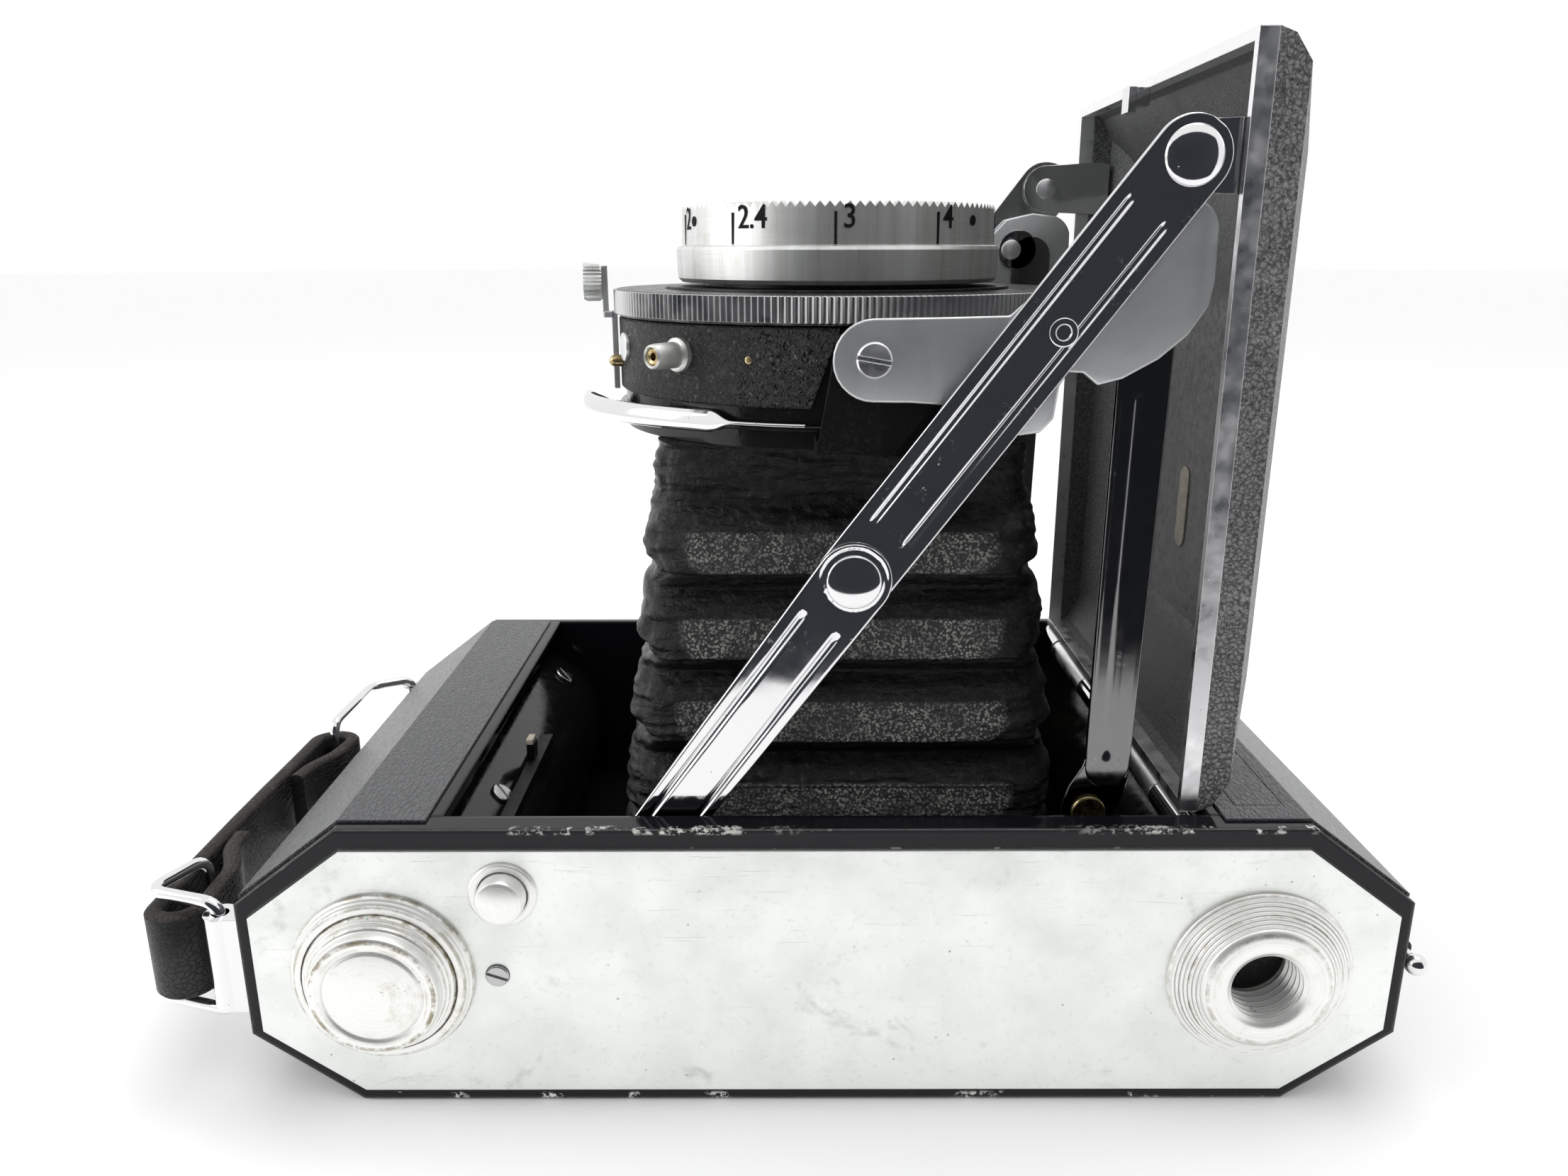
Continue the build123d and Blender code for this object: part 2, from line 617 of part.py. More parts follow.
def flash_socket():
    stem = Pos(LENS_X, MID_Y, 86.6) * Rot(0, 0, 228)
    socket = stem * Pos(30.4, 0, 0) * Rot(0, 90, 0) * Cylinder(1.45, 5.0)
    socket += stem * Pos(28.6, 0, 0) * Rot(0, 90, 0) * Cylinder(1.9, 0.9)
    socket -= stem * Pos(32.4, 0, 0) * Rot(0, 90, 0) * Cylinder(0.6, 3.0)
    return socket - rod_z(LENS_X, MID_Y, HOUSING_R, (80, 95))


def bellows():
    def frame_at(z, half):
        return Pos(LENS_X, MID_Y, z) * Rectangle(2 * half, 2 * half)

    outer = loft([frame_at(GATE_Z[1], 29.6), frame_at(BASE_Z[0], 22.4)])
    inner = loft([frame_at(GATE_Z[1], 28.4), frame_at(BASE_Z[0], 21.2)])
    return outer - inner


def back_cover():
    cover = body_band(0, -1.2, COVER_Y) & block((-80, 80), (-50, 50), (-5, SPLIT_Z))
    cover -= block(RED_WINDOW_X, RED_WINDOW_Y, (-1, 3))
    knuckle = tube_y(BACK_HINGE_X, BACK_HINGE_Z, 1.2, 0.65, (-12, 12))
    web = block((66.5, 68.2), (-12, 12), (16.6, 17.5))
    web -= rod_y(BACK_HINGE_X, BACK_HINGE_Z, 0.65, (-20, 20))
    return cover + knuckle + web


def back_leather():
    skin = body_band(LEATHER, 0, (-36.4, 36.6)) & block((-80, 80), (-50, 50), (-5, 16.2))
    return skin - block(RED_WINDOW_X, (-14.0, RED_WINDOW_Y[1]), (-1, 1))


def red_window():
    return block(RED_WINDOW_X, RED_WINDOW_Y, (BODY_BACK_Z + 0.5, BODY_BACK_Z + 1.2))


def window_slide():
    x = (RED_WINDOW_X[0] + 0.4, RED_WINDOW_X[1] - 0.4)
    return block(x, (-13.6, -4.4), (0.05, 0.25))


def back_latch():
    latch = block((-69.3, -67.8), (-6.0, 8.0), (14.6, 21.6))
    for index in range(5):
        y = -3.8 + 2.4 * index
        latch -= block((-70, -69.0), (y, y + 1.0), (14, 22))
    return latch


def back_hinge_pin():
    pin = rod_y(BACK_HINGE_X, BACK_HINGE_Z, 0.6, (-37.6, 37.4))
    return pin + Pos(BACK_HINGE_X, -38.2, BACK_HINGE_Z) * Sphere(1.3)


def pressure_plate():
    plate = block((-33, 33), (MID_Y - 30, MID_Y + 30), (4.4, 5.4))
    return fillet(plate.edges().filter_by(Axis.Z), 4.0)


def pressure_springs():
    springs = Part()
    for side in (-1, 1):
        x = side * 18.0
        arch = ThreePointArc((MID_Y - 16, 1.7), (MID_Y, 4.2), (MID_Y + 16, 1.7))
        lower = ThreePointArc((MID_Y + 16, 1.5), (MID_Y, 4.0), (MID_Y - 16, 1.5))
        ends = [Line(arch @ 1, lower @ 0), Line(lower @ 1, arch @ 0)]
        face = make_face([arch, ends[0], lower, ends[1]])
        strip = Plane.YZ * extrude(face, amount=6, dir=(0, 0, 1))
        springs += Pos(x - 3, 0, 0) * strip
    return springs


def strap_lugs():
    lugs = Part()
    for side in (-1, 1):
        y = side * LUG_Y
        lug = Pos(LUG_X, y, 18.4) * (Cylinder(1.9, 12.2) - Cylinder(1.0, 20))
        rim = sorted((side * 38.3, side * 36.9))
        tab = block((-69.0, -BODY_HALF_X), rim, (12.3, 24.5))
        lugs += lug + (tab - Pos(LUG_X, y, 18.0) * Cylinder(1.0, 20))
    return lugs


def strap_rings():
    r = 0.9
    low, high = STRAP_Z[0] - 1.6, STRAP_Z[1] + 1.6
    rings = Part()
    for lug_y, elbow, bar in ((-LUG_Y, (-79.6, -33.0), (-76.4, -25.0)),
                              (LUG_Y, (-76.0, 33.0), (-76.4, 16.6))):
        flat = [(LUG_X, lug_y), elbow, bar]
        top = [(x, y, high) for x, y in flat]
        base = [(x, y, low) for x, y in reversed(flat)]
        rings += wire(top + base + top[:1], r)
    return rings


def carry_strap():
    thick = 2.2
    near, far = (-76.4, -33.4), (-76.4, 16.0)
    turn = 3.9
    loops = Part()
    for a, b in ((near, (-76.4, -24.0)), (far, (-76.4, 12.0))):
        ring = capsule(a, b, turn) - capsule(a, b, turn - thick)
        loops += extrude(ring, STRAP_Z[1] - STRAP_Z[0])
    band_x = (near[0] - turn, near[0] - turn + thick)
    span = block(band_x, (-24.0, 12.0), (0, STRAP_Z[1] - STRAP_Z[0]))
    return Pos(0, 0, STRAP_Z[0]) * (loops + span)


NODES = {
    "body_shell": body_shell,
    "end_walls": end_walls,
    "front_frame": front_frame,
    "film_chamber": film_chamber,
    "bottom_plate": bottom_plate,
    "bottom_screws": bottom_screws,
    "tripod_socket": tripod_socket,
    "bottom_collars": bottom_collars,
    "side_leathers": lambda: leather_side(-1) + leather_side(1),
    "top_housing": top_housing,
    "finder_glass": finder_glass,
    "accessory_shoe": accessory_shoe,
    "linkage_anchors": linkage_anchors,
    "door_hinge_pin": door_hinge_pin,
    "strap_lugs": strap_lugs,
    "strap_rings": strap_rings,
    "carry_strap": carry_strap,
    "back_hinge_pin": back_hinge_pin,
    "film_knob": film_knob,
    "door_button": door_button,
    "door_catch": door_catch,
    "wind_knob": wind_knob,
    "takeup_spool": takeup_spool,
    "body_release": body_release,
    "back_cover": back_cover,
    "back_leather": back_leather,
    "red_window": red_window,
    "window_slide": window_slide,
    "back_latch": back_latch,
    "pressure_plate": pressure_plate,
    "pressure_springs": pressure_springs,
    "door_pan": door_pan,
    "door_rim": door_rim,
    "door_leather": door_leather,
    "door_latch_hook": door_latch_hook,
    "door_ears": door_ears,
    "door_pins": door_pins,
    "lower_strut_near": lambda: lower_strut(-1),
    "lower_strut_far": lambda: lower_strut(1),
    "mid_rivets": mid_rivets,
    "upper_strut_near": lambda: upper_strut(-1),
    "upper_strut_far": lambda: upper_strut(1),
    "hollow_rivets": hollow_rivets,
    "bracket_near": lambda: bracket(-1),
    "bracket_far": lambda: bracket(1),
    "bracket_screws": bracket_screws,
    "side_arm_near": lambda: side_arm(-1),
    "side_arm_far": lambda: side_arm(1),
    "standard_plate": standard_plate,
    "shutter_housing": shutter_housing,
    "lens_barrel": lens_barrel,
    "lens_elements": lens_elements,
    "shutter_blades": shutter_blades,
    "flash_socket": flash_socket,
    "speed_ring": speed_ring,
    "focus_ring": focus_ring,
    "aperture_lever": aperture_lever,
    "cocking_lever": cocking_lever,
    "release_lever": release_lever,
    "bellows": bellows,
}

os.makedirs("parts", exist_ok=True)
for name, make in NODES.items():
    export_step(make(), f"parts/{name}.step")
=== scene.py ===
import json
from math import acos, atan2, copysign, cos, dist, exp, hypot, pi, radians, sin, sqrt, tau

import bmesh
import bpy
from mathutils import Euler, Matrix, Vector, noise


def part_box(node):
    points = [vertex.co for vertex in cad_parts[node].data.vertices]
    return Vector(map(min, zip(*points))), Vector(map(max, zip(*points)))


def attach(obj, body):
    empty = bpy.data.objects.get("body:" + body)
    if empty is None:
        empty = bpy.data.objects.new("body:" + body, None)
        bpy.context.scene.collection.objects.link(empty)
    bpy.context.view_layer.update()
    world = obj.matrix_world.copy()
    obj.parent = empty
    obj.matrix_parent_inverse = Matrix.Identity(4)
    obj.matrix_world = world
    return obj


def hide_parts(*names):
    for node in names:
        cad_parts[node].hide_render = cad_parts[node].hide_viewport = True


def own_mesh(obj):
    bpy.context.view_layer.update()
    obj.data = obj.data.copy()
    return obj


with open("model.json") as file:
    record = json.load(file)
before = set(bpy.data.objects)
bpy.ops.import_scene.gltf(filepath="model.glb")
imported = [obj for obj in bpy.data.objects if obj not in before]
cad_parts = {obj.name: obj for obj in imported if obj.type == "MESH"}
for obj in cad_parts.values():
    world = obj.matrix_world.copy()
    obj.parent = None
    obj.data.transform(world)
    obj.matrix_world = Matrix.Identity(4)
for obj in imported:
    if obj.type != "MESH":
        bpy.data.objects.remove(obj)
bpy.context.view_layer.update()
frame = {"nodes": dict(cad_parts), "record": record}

# Driving dimensions, in millimetres, in the row frame. They repeat the solid model's.
MM = 0.001
MID_Y = 1.0
LENS = (2.4, 1.0)
PIVOT_DOOR = (36.0, 107.0)
PIVOT_MID = (3.1, 63.5)
PIVOT_ROOT = (-25.1, 24.8)
PIVOT_RIVET = (24.3, 89.9)
PIVOT_STANDARD = (5.0, 87.0)
PIVOT_ARM = (31.3, 34.4)
PIVOT_ARM_TOP = (30.8, 98.0)
LOWER_SHEET = (34.6, 35.2)
UPPER_SHEET = (33.8, 34.4)
BRACKET_SHEET = (32.2, 32.8)
EAR_SHEET = (33.0, 33.6)
ARM_SHEET = (31.4, 32.0)
SPOOL_Z = 17.6
FILM_KNOB_X = -50.9
TRIPOD_X = 50.3
BUTTON = (-36.4, 28.2)


def node_box(name):
    """A node's lowest and highest corners, in millimetres."""
    low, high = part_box(name)
    return [v / MM for v in low], [v / MM for v in high]


BASE_Z = (node_box("standard_plate")[0][2], node_box("shutter_housing")[0][2])
HOUSING_TOP = node_box("shutter_housing")[1][2]
SPEED_Z = (node_box("speed_ring")[0][2], node_box("speed_ring")[1][2])
FOCUS_Z = (node_box("focus_ring")[0][2], node_box("focus_ring")[1][2])
HOUSING_R = 28.2
SPEED_R = 28.8
FOCUS_R = 19.9
GATE_TOP = 8.0
PLATE_Y = -38.8
RIM_Y = -38.4
FOCUS_STEP = FOCUS_Z[0] + 4.3
FOLD_PITCH = 10.27
TOP_PANEL = 66.3
PANEL_SHARE = 0.5
VALLEY_AT = 0.72


# Materials.

def grey(tone):
    return (tone, tone, tone)


class Finish:
    """A material whose colour, roughness and relief are built from node textures."""

    def __init__(self, name, colour, rough, metal=0.0, **sockets):
        self.mat = bpy.data.materials.new(name)
        self.mat.use_nodes = True
        self.tree = self.mat.node_tree
        self.bsdf = self.tree.nodes["Principled BSDF"]
        self.set("Base Color", (*colour, 1))
        self.set("Roughness", rough)
        self.set("Metallic", metal)
        for key, value in sockets.items():
            self.set(key.replace("_", " "), value)
        self.place = self.node("ShaderNodeTexCoord").outputs["Object"]
        self.normal = None
        self.base = None

    def node(self, kind, **props):
        made = self.tree.nodes.new(kind)
        for key, value in props.items():
            setattr(made, key, value)
        return made

    def set(self, socket, value):
        """Gives a shader socket a plain value or another node's output."""
        target = self.bsdf.inputs[socket]
        if isinstance(value, bpy.types.NodeSocket):
            self.tree.links.new(value, target)
        else:
            target.default_value = value

    def feed(self, target, value):
        if isinstance(value, bpy.types.NodeSocket):
            self.tree.links.new(value, target)
        elif isinstance(value, (tuple, list)) and len(value) == 3 and target.type == "RGBA":
            target.default_value = (*value, 1)
        else:
            target.default_value = value

    def stretched(self, scale):
        """Object coordinates scaled by a different amount along each axis."""
        mapping = self.node("ShaderNodeMapping")
        mapping.inputs["Scale"].default_value = scale
        self.feed(mapping.inputs["Vector"], self.place)
        return mapping.outputs["Vector"]

    def noise(self, size, detail=3.0, rough=0.55, stretch=None, distortion=0.0):
        """Noise whose features are about size millimetres across."""
        tex = self.node("ShaderNodeTexNoise")
        self.feed(tex.inputs["Vector"], self.stretched(stretch) if stretch else self.place)
        tex.inputs["Scale"].default_value = 1 / (size * MM)
        tex.inputs["Detail"].default_value = detail
        tex.inputs["Roughness"].default_value = rough
        tex.inputs["Distortion"].default_value = distortion
        return tex.outputs["Fac"]

    def cells(self, size, feature="F1", stretch=None):
        """Voronoi cells about size millimetres across."""
        tex = self.node("ShaderNodeTexVoronoi", feature=feature)
        self.feed(tex.inputs["Vector"], self.stretched(stretch) if stretch else self.place)
        tex.inputs["Scale"].default_value = 1 / (size * MM)
        return tex.outputs["Distance"]

    def math(self, operation, a, b=0.5):
        made = self.node("ShaderNodeMath", operation=operation)
        for target, value in zip(made.inputs, (a, b)):
            self.feed(target, value)
        return made.outputs[0]

    def span(self, value, low, high, to_low=0.0, to_high=1.0):
        """Maps low..high to to_low..to_high, clamped."""
        made = self.node("ShaderNodeMapRange", clamp=True)
        for target, item in zip(made.inputs, (value, low, high, to_low, to_high)):
            self.feed(target, item)
        return made.outputs[0]

    def mix(self, share, a, b):
        made = self.node("ShaderNodeMix", data_type="RGBA")
        self.feed(made.inputs[0], share)
        self.feed(made.inputs[6], a)
        self.feed(made.inputs[7], b)
        return made.outputs[2]

    def axis(self, letter):
        """One object coordinate, in millimetres."""
        split = self.node("ShaderNodeSeparateXYZ")
        self.feed(split.inputs[0], self.place)
        return self.math("MULTIPLY", split.outputs[letter], 1 / MM)

    def near(self, letter, at, width):
        """1 at a plane across an axis, falling to 0 at width millimetres from it."""
        away = self.math("ABSOLUTE", self.math("SUBTRACT", self.axis(letter), at))
        return self.span(away, width * 0.5, width, 1.0, 0.0)

    def between(self, letter, low, high, soft):
        """1 between two planes across an axis, with soft ends."""
        rise = self.span(self.axis(letter), low - soft, low + soft)
        fall = self.span(self.axis(letter), high - soft, high + soft, 1.0, 0.0)
        return self.math("MULTIPLY", rise, fall)

    def both(self, *masks):
        """The product of all the masks."""
        total = masks[0]
        for mask in masks[1:]:
            total = self.math("MULTIPLY", total, mask)
        return total

    def either(self, a, b):
        return self.math("MAXIMUM", a, b)

    def flip(self, mask):
        return self.math("SUBTRACT", 1.0, mask)

    def spots(self, size, low, high, *args, **kwargs):
        """A mask of noise spots: 0 where the noise is below low and 1 above high."""
        return self.span(self.noise(size, *args, **kwargs), low, high)

    def rings(self, radius, scale, detail):
        """Noise that changes only with the distance from an axis."""
        tex = self.node("ShaderNodeTexNoise", noise_dimensions="1D")
        self.feed(tex.inputs["W"], radius)
        tex.inputs["Scale"].default_value = scale
        tex.inputs["Detail"].default_value = detail
        return tex.outputs["Fac"]

    def tint(self, share, colour, over=None):
        """Mixes a colour over the base colour so far, or over another one."""
        self.base = self.mix(share, over or self.base, colour)
        self.set("Base Color", self.base)

    def roughen(self, value, low, high, to_low, to_high):
        """Maps a value to the roughness."""
        self.set("Roughness", self.span(value, low, high, to_low, to_high))

    def soften(self, radius):
        """Rounds the shading of sharp edges by radius millimetres."""
        bevel = self.node("ShaderNodeBevel", samples=4)
        bevel.inputs["Radius"].default_value = radius * MM
        self.normal = bevel.outputs["Normal"]

    def edges(self, radius):
        """A mask that is 1 along convex and concave edges."""
        bevel = self.node("ShaderNodeBevel", samples=4)
        bevel.inputs["Radius"].default_value = radius * MM
        flat = self.node("ShaderNodeNewGeometry")
        dot = self.node("ShaderNodeVectorMath", operation="DOT_PRODUCT")
        self.feed(dot.inputs[0], bevel.outputs["Normal"])
        self.feed(dot.inputs[1], flat.outputs["Normal"])
        return self.span(dot.outputs["Value"], 0.88, 0.98, 1.0, 0.0)

    def bump(self, height, depth):
        """Adds relief depth millimetres deep."""
        made = self.node("ShaderNodeBump")
        made.inputs["Distance"].default_value = depth * MM
        self.feed(made.inputs["Height"], height)
        if self.normal is not None:
            self.feed(made.inputs["Normal"], self.normal)
        self.normal = made.outputs["Normal"]

    def done(self):
        if self.normal is not None:
            self.set("Normal", self.normal)
        return self.mat


def black_enamel():
    """Gloss stove enamel, chipped to bare grey metal along the edges beside the bottom plate, with a painted
    highlight line along the front rim's edges.
    """
    f = Finish("black_enamel", (0.006, 0.006, 0.008), 0.1, Specular_IOR_Level=0.27)
    f.soften(0.7)
    f.bump(f.noise(3.0, 2), 0.02)
    dust = f.spots(0.35, 0.7, 0.78, 2)
    edge_top = f.both(f.near("Y", RIM_Y, 1.1), f.near("Z", 36.0, 0.75))
    edge_low = f.both(f.near("Y", RIM_Y, 0.9), f.near("Z", 0.4, 0.9))
    corner = f.both(f.near("Y", RIM_Y, 0.9), f.edges(0.5))
    worn_x = f.either(f.between("X", -36, -8, 6), f.between("X", 34, 62, 8))
    patch = f.both(worn_x, f.spots(4.5, 0.49, 0.55, 3, 0.7))
    flakes = f.spots(0.8, 0.48, 0.53, 4, 0.65)
    bare = f.both(edge_top, patch, flakes)
    few = f.both(edge_low, f.spots(6.0, 0.62, 0.66, 3), flakes)
    nicks = f.both(corner, f.spots(2.3, 0.64, 0.68, 4, 0.7))
    bare = f.either(bare, f.either(few, nicks))
    f.tint(dust, (0.03, 0.03, 0.029), (0.006, 0.006, 0.008))
    # Painted highlight: a thin pale grey line along the edges of the front rim.
    rim = f.both(f.near("Y", RIM_Y, 0.6), f.edges(0.35))
    f.tint(f.both(rim, 0.5), grey(0.3))
    f.tint(bare, (0.66, 0.67, 0.63))
    f.roughen(bare, 0, 1, 0.1, 0.5)
    f.bump(f.flip(bare), 0.08)
    return f.done()


def satin_silver():
    """Pale matt-chromed plate, faintly mottled, with dull stains and fine scratches."""
    f = Finish("satin_silver", (0.84, 0.85, 0.82), 0.4, 0.85)
    f.soften(0.15)
    cloud = f.noise(9.0, 4, 0.6)
    speck = f.noise(0.7, 3, 0.6)
    f.tint(f.span(cloud, 0.38, 0.66), (0.86, 0.885, 0.85), (0.93, 0.945, 0.925))
    f.tint(f.span(speck, 0.58, 0.75, 0, 0.4), (0.68, 0.7, 0.655))
    stain = f.both(f.spots(14.0, 0.6, 0.72, 5, 0.62, distortion=1.2), f.spots(1.6, 0.4, 0.62, 4))
    f.tint(f.both(stain, 0.6), (0.5, 0.5, 0.45))
    pits = f.span(f.cells(1.9), 0.05, 0.09, 0.8, 0.0)
    pits = f.both(pits, f.spots(7.0, 0.52, 0.6, 2))
    f.tint(pits, (0.3, 0.3, 0.28))
    f.roughen(f.math("ADD", cloud, f.both(stain, 0.5)), 0.3, 1.0, 0.33, 0.55)
    f.bump(f.noise(0.25, 3, 0.7), 0.012)
    scratch = f.spots(0.5, 0.66, 0.72, 2, stretch=(0.06, 1, 1))
    f.bump(f.both(scratch, -1.0), 0.01)
    return f.done()


def chrome(name="chrome", tone=0.82, haze=0.06, wear=0.5):
    """Bright plating with hairline scratches, pinholes and cloudy worn patches."""
    f = Finish(name, (tone, tone, tone * 1.01), haze, 1.0)
    f.soften(0.12)
    cloud = f.spots(6.0, 0.66 - 0.1 * wear, 0.76 - 0.1 * wear, 5, 0.7)
    freckle = f.spots(0.5, 0.52, 0.63, 3, 0.7)
    worn = f.both(f.both(cloud, freckle), wear)
    pin = f.both(f.span(f.cells(1.3), 0.04, 0.08, 1.0, 0.0), f.spots(4.0, 0.58, 0.62, 2))
    f.tint(worn, (0.5, 0.52, 0.52), (tone, tone, tone * 1.01))
    f.tint(f.both(pin, 0.8), (0.16, 0.13, 0.09))
    f.set("Roughness", f.math("ADD", f.span(f.noise(2.5, 4), 0.3, 0.8, haze * 0.7, haze * 1.7),
                              f.both(worn, 0.35)))
    f.bump(f.flip(pin), 0.03)
    f.bump(f.noise(7.0, 1), 0.02)
    return f.done()


def satin_nickel():
    """Satin plating with a fine rolled grain and soft cloudiness."""
    f = Finish("satin_nickel", (0.8, 0.81, 0.82), 0.4, 0.9)
    f.soften(0.2)
    cloud = f.noise(5.0, 4, 0.6)
    f.tint(f.span(cloud, 0.35, 0.7), (0.64, 0.65, 0.66), (0.78, 0.79, 0.8))
    spot = f.spots(0.6, 0.72, 0.78, 3)
    f.tint(f.both(spot, 0.5), (0.36, 0.35, 0.33))
    f.roughen(cloud, 0.3, 0.75, 0.34, 0.46)
    f.bump(f.noise(0.16, 3, 0.6), 0.006)
    f.bump(f.both(f.near("X", 13.5, 2.6), f.spots(9.0, 0.3, 0.6, 2)), 0.12)
    return f.done()


def turned_aluminium(name, centre, axis_plane, tarnish):
    """Bright turned metal: fine rings about an axis, with yellowish dirt in the steps."""
    f = Finish(name, (0.9, 0.9, 0.87), 0.42, 0.8)
    f.soften(0.12)
    split = f.node("ShaderNodeSeparateXYZ")
    f.feed(split.inputs[0], f.place)
    first = f.math("SUBTRACT", f.both(split.outputs[axis_plane[0]], 1 / MM), centre[0])
    second = f.math("SUBTRACT", f.both(split.outputs[axis_plane[1]], 1 / MM), centre[1])
    square = f.math("ADD", f.math("POWER", first, 2.0), f.math("POWER", second, 2.0))
    radius = f.math("SQRT", square)
    ring = f.rings(radius, 6.0, 4.0)
    dirt = f.spots(2.6, 0.56, 0.72, 5, 0.7)
    f.tint(f.span(ring, 0.35, 0.7), (0.88, 0.88, 0.85), (0.97, 0.97, 0.95))
    f.tint(f.both(dirt, tarnish * 0.45), (0.62, 0.56, 0.42))
    grime = f.both(f.span(f.rings(radius, 1.1, 3.0), 0.5, 0.6), f.spots(2.2, 0.42, 0.58, 5, 0.75))
    grime = f.both(grime, f.span(radius, 5.8, 7.0))
    f.tint(f.both(grime, tarnish), (0.3, 0.26, 0.17))
    green = f.both(f.spots(1.4, 0.69, 0.72, 3), f.spots(5.0, 0.52, 0.6, 2))
    f.tint(f.both(green, tarnish), (0.05, 0.3, 0.22))
    f.roughen(dirt, 0, 1, 0.36, 0.5)
    f.bump(ring, 0.008)
    f.bump(f.noise(0.3, 3), 0.004)
    return f.done()


def brushed_ring():
    """Turned rings of the lens: fine brushing round the axis."""
    f = Finish("brushed_aluminium", (0.85, 0.85, 0.82), 0.4, 0.9)
    f.soften(0.1)
    line = f.noise(1.0, 4, 0.6, stretch=(0.12, 0.12, 14))
    patch = f.noise(3.2, 3)
    streak = f.noise(2.2, 5, 0.7, stretch=(1, 1, 0.02))
    f.tint(f.span(line, 0.3, 0.75), (0.66, 0.66, 0.635), (0.8, 0.8, 0.775))
    f.tint(f.span(streak, 0.5, 0.66, 0, 0.6), (0.9, 0.94, 0.97))
    f.tint(f.span(streak, 0.34, 0.46, 0.5, 0), (0.5, 0.5, 0.48))
    f.tint(f.span(patch, 0.6, 0.76, 0, 0.35), (0.5, 0.48, 0.4))
    f.roughen(line, 0.3, 0.7, 0.36, 0.48)
    f.bump(line, 0.006)
    f.bump(f.noise(0.2, 2), 0.006)
    return f.done()


def leather(name, tone, grain, depth, rough, sheen, wear=0.25):
    """Grained covering: rounded pebbles between fine creases, paler where it is rubbed."""
    dark = (tone, tone, tone * 1.03)
    pale = (tone * 2.6 + 0.01, tone * 2.6 + 0.01, tone * 2.55 + 0.01)
    f = Finish(name, dark, rough, Sheen_Weight=sheen, Sheen_Roughness=0.4, Specular_IOR_Level=0.6)
    warp = f.noise(grain * 3.0, 3)
    pebble = f.cells(grain, "SMOOTH_F1")
    crease = f.cells(grain * 1.25, "DISTANCE_TO_EDGE")
    groove = f.span(crease, 0.0, 0.16)
    fine = f.noise(grain * 0.35, 4, 0.65)
    rubbed = f.both(f.spots(11.0, 0.48, 0.72, 4, 0.6), f.span(pebble, 0.2, 0.5, 1.0, 0.0))
    under = grey(tone * 0.2)
    pores = f.spots(grain * 0.8, 0.4, 0.52, 2)
    f.tint(f.both(pores, groove), dark, under)
    f.tint(f.both(rubbed, wear), pale)
    f.set("Roughness", f.math("ADD", f.span(fine, 0.3, 0.7, rough - 0.09, rough + 0.1),
                              f.span(groove, 0, 1, 0.15, 0)))
    f.bump(f.flip(pebble), depth)
    f.bump(groove, depth * 0.7)
    f.bump(warp, depth * 0.8)
    f.bump(fine, depth * 0.25)
    return f.done()


def ribbed_leather():
    """The body covering: fine grain that runs along Y, with a tooled line on the right strip."""
    f = Finish("black_leather", (0.035, 0.035, 0.036), 0.32, Sheen_Weight=0.06, Sheen_Roughness=0.35,
               Specular_IOR_Level=0.75)
    f.soften(0.35)
    wrinkle = f.noise(0.75, 5, 0.62, stretch=(1.5, 0.62, 1.5), distortion=0.8)
    pore = f.cells(0.55, "SMOOTH_F1", stretch=(1.4, 0.7, 1.4))
    crease = f.span(f.cells(0.9, "DISTANCE_TO_EDGE", stretch=(1.5, 0.65, 1.5)), 0.0, 0.12)
    rub = f.both(f.spots(9.0, 0.45, 0.7, 4), f.span(wrinkle, 0.5, 0.7))
    f.tint(crease, (0.036, 0.039, 0.044), (0.011, 0.012, 0.014))
    f.tint(f.both(rub, 0.4), (0.095, 0.095, 0.092))
    f.roughen(wrinkle, 0.3, 0.7, 0.36, 0.22)
    edge_x = f.either(f.near("X", 47.4, 0.35), f.near("X", 53.0, 0.35))
    inside_y = f.between("Y", -33.5, 33.5, 0.2)
    edge_y = f.either(f.near("Y", -33.5, 0.35), f.near("Y", 33.5, 0.35))
    tooled = f.either(f.both(edge_x, inside_y), f.both(edge_y, f.between("X", 47.4, 53.0, 0.2)))
    f.bump(f.both(tooled, -1.0), 0.25)
    f.bump(crease, 0.06)
    f.bump(wrinkle, 0.16)
    f.bump(f.flip(pore), 0.06)
    return f.done()


def bellows_leather():
    """Thin black leather: wrinkled and glossy at the folds, white-flecked pebble on the flats."""
    f = Finish("bellows_leather", (0.006, 0.006, 0.007), 0.34, Specular_IOR_Level=0.45)
    crumple = f.noise(1.6, 6, 0.66, distortion=1.0)
    lines = f.noise(1.1, 5, 0.6, stretch=(0.35, 0.35, 1.6))
    pebble = f.cells(0.32, "SMOOTH_F1")
    attribute = f.node("ShaderNodeAttribute", attribute_name="panel")
    panel = attribute.outputs["Fac"]
    fleck = f.both(panel, f.span(pebble, 0.2, 0.46, 1.0, 0.0), f.spots(3.4, 0.25, 0.6, 4, 0.6))
    rub = f.both(f.span(crumple, 0.56, 0.74), f.spots(5.0, 0.45, 0.7, 3))
    f.tint(f.both(rub, 0.2), (0.04, 0.04, 0.041), (0.004, 0.004, 0.005))
    f.tint(f.both(panel, 0.9), (0.022, 0.023, 0.022))
    f.tint(f.both(fleck, 0.8), (0.3, 0.31, 0.28))
    f.set("Roughness", f.math("ADD", f.span(crumple, 0.3, 0.7, 0.2, 0.4), f.both(panel, 0.16)))
    f.bump(crumple, 0.45)
    f.bump(lines, 0.3)
    f.bump(f.both(panel, f.flip(pebble)), 0.1)
    return f.done()


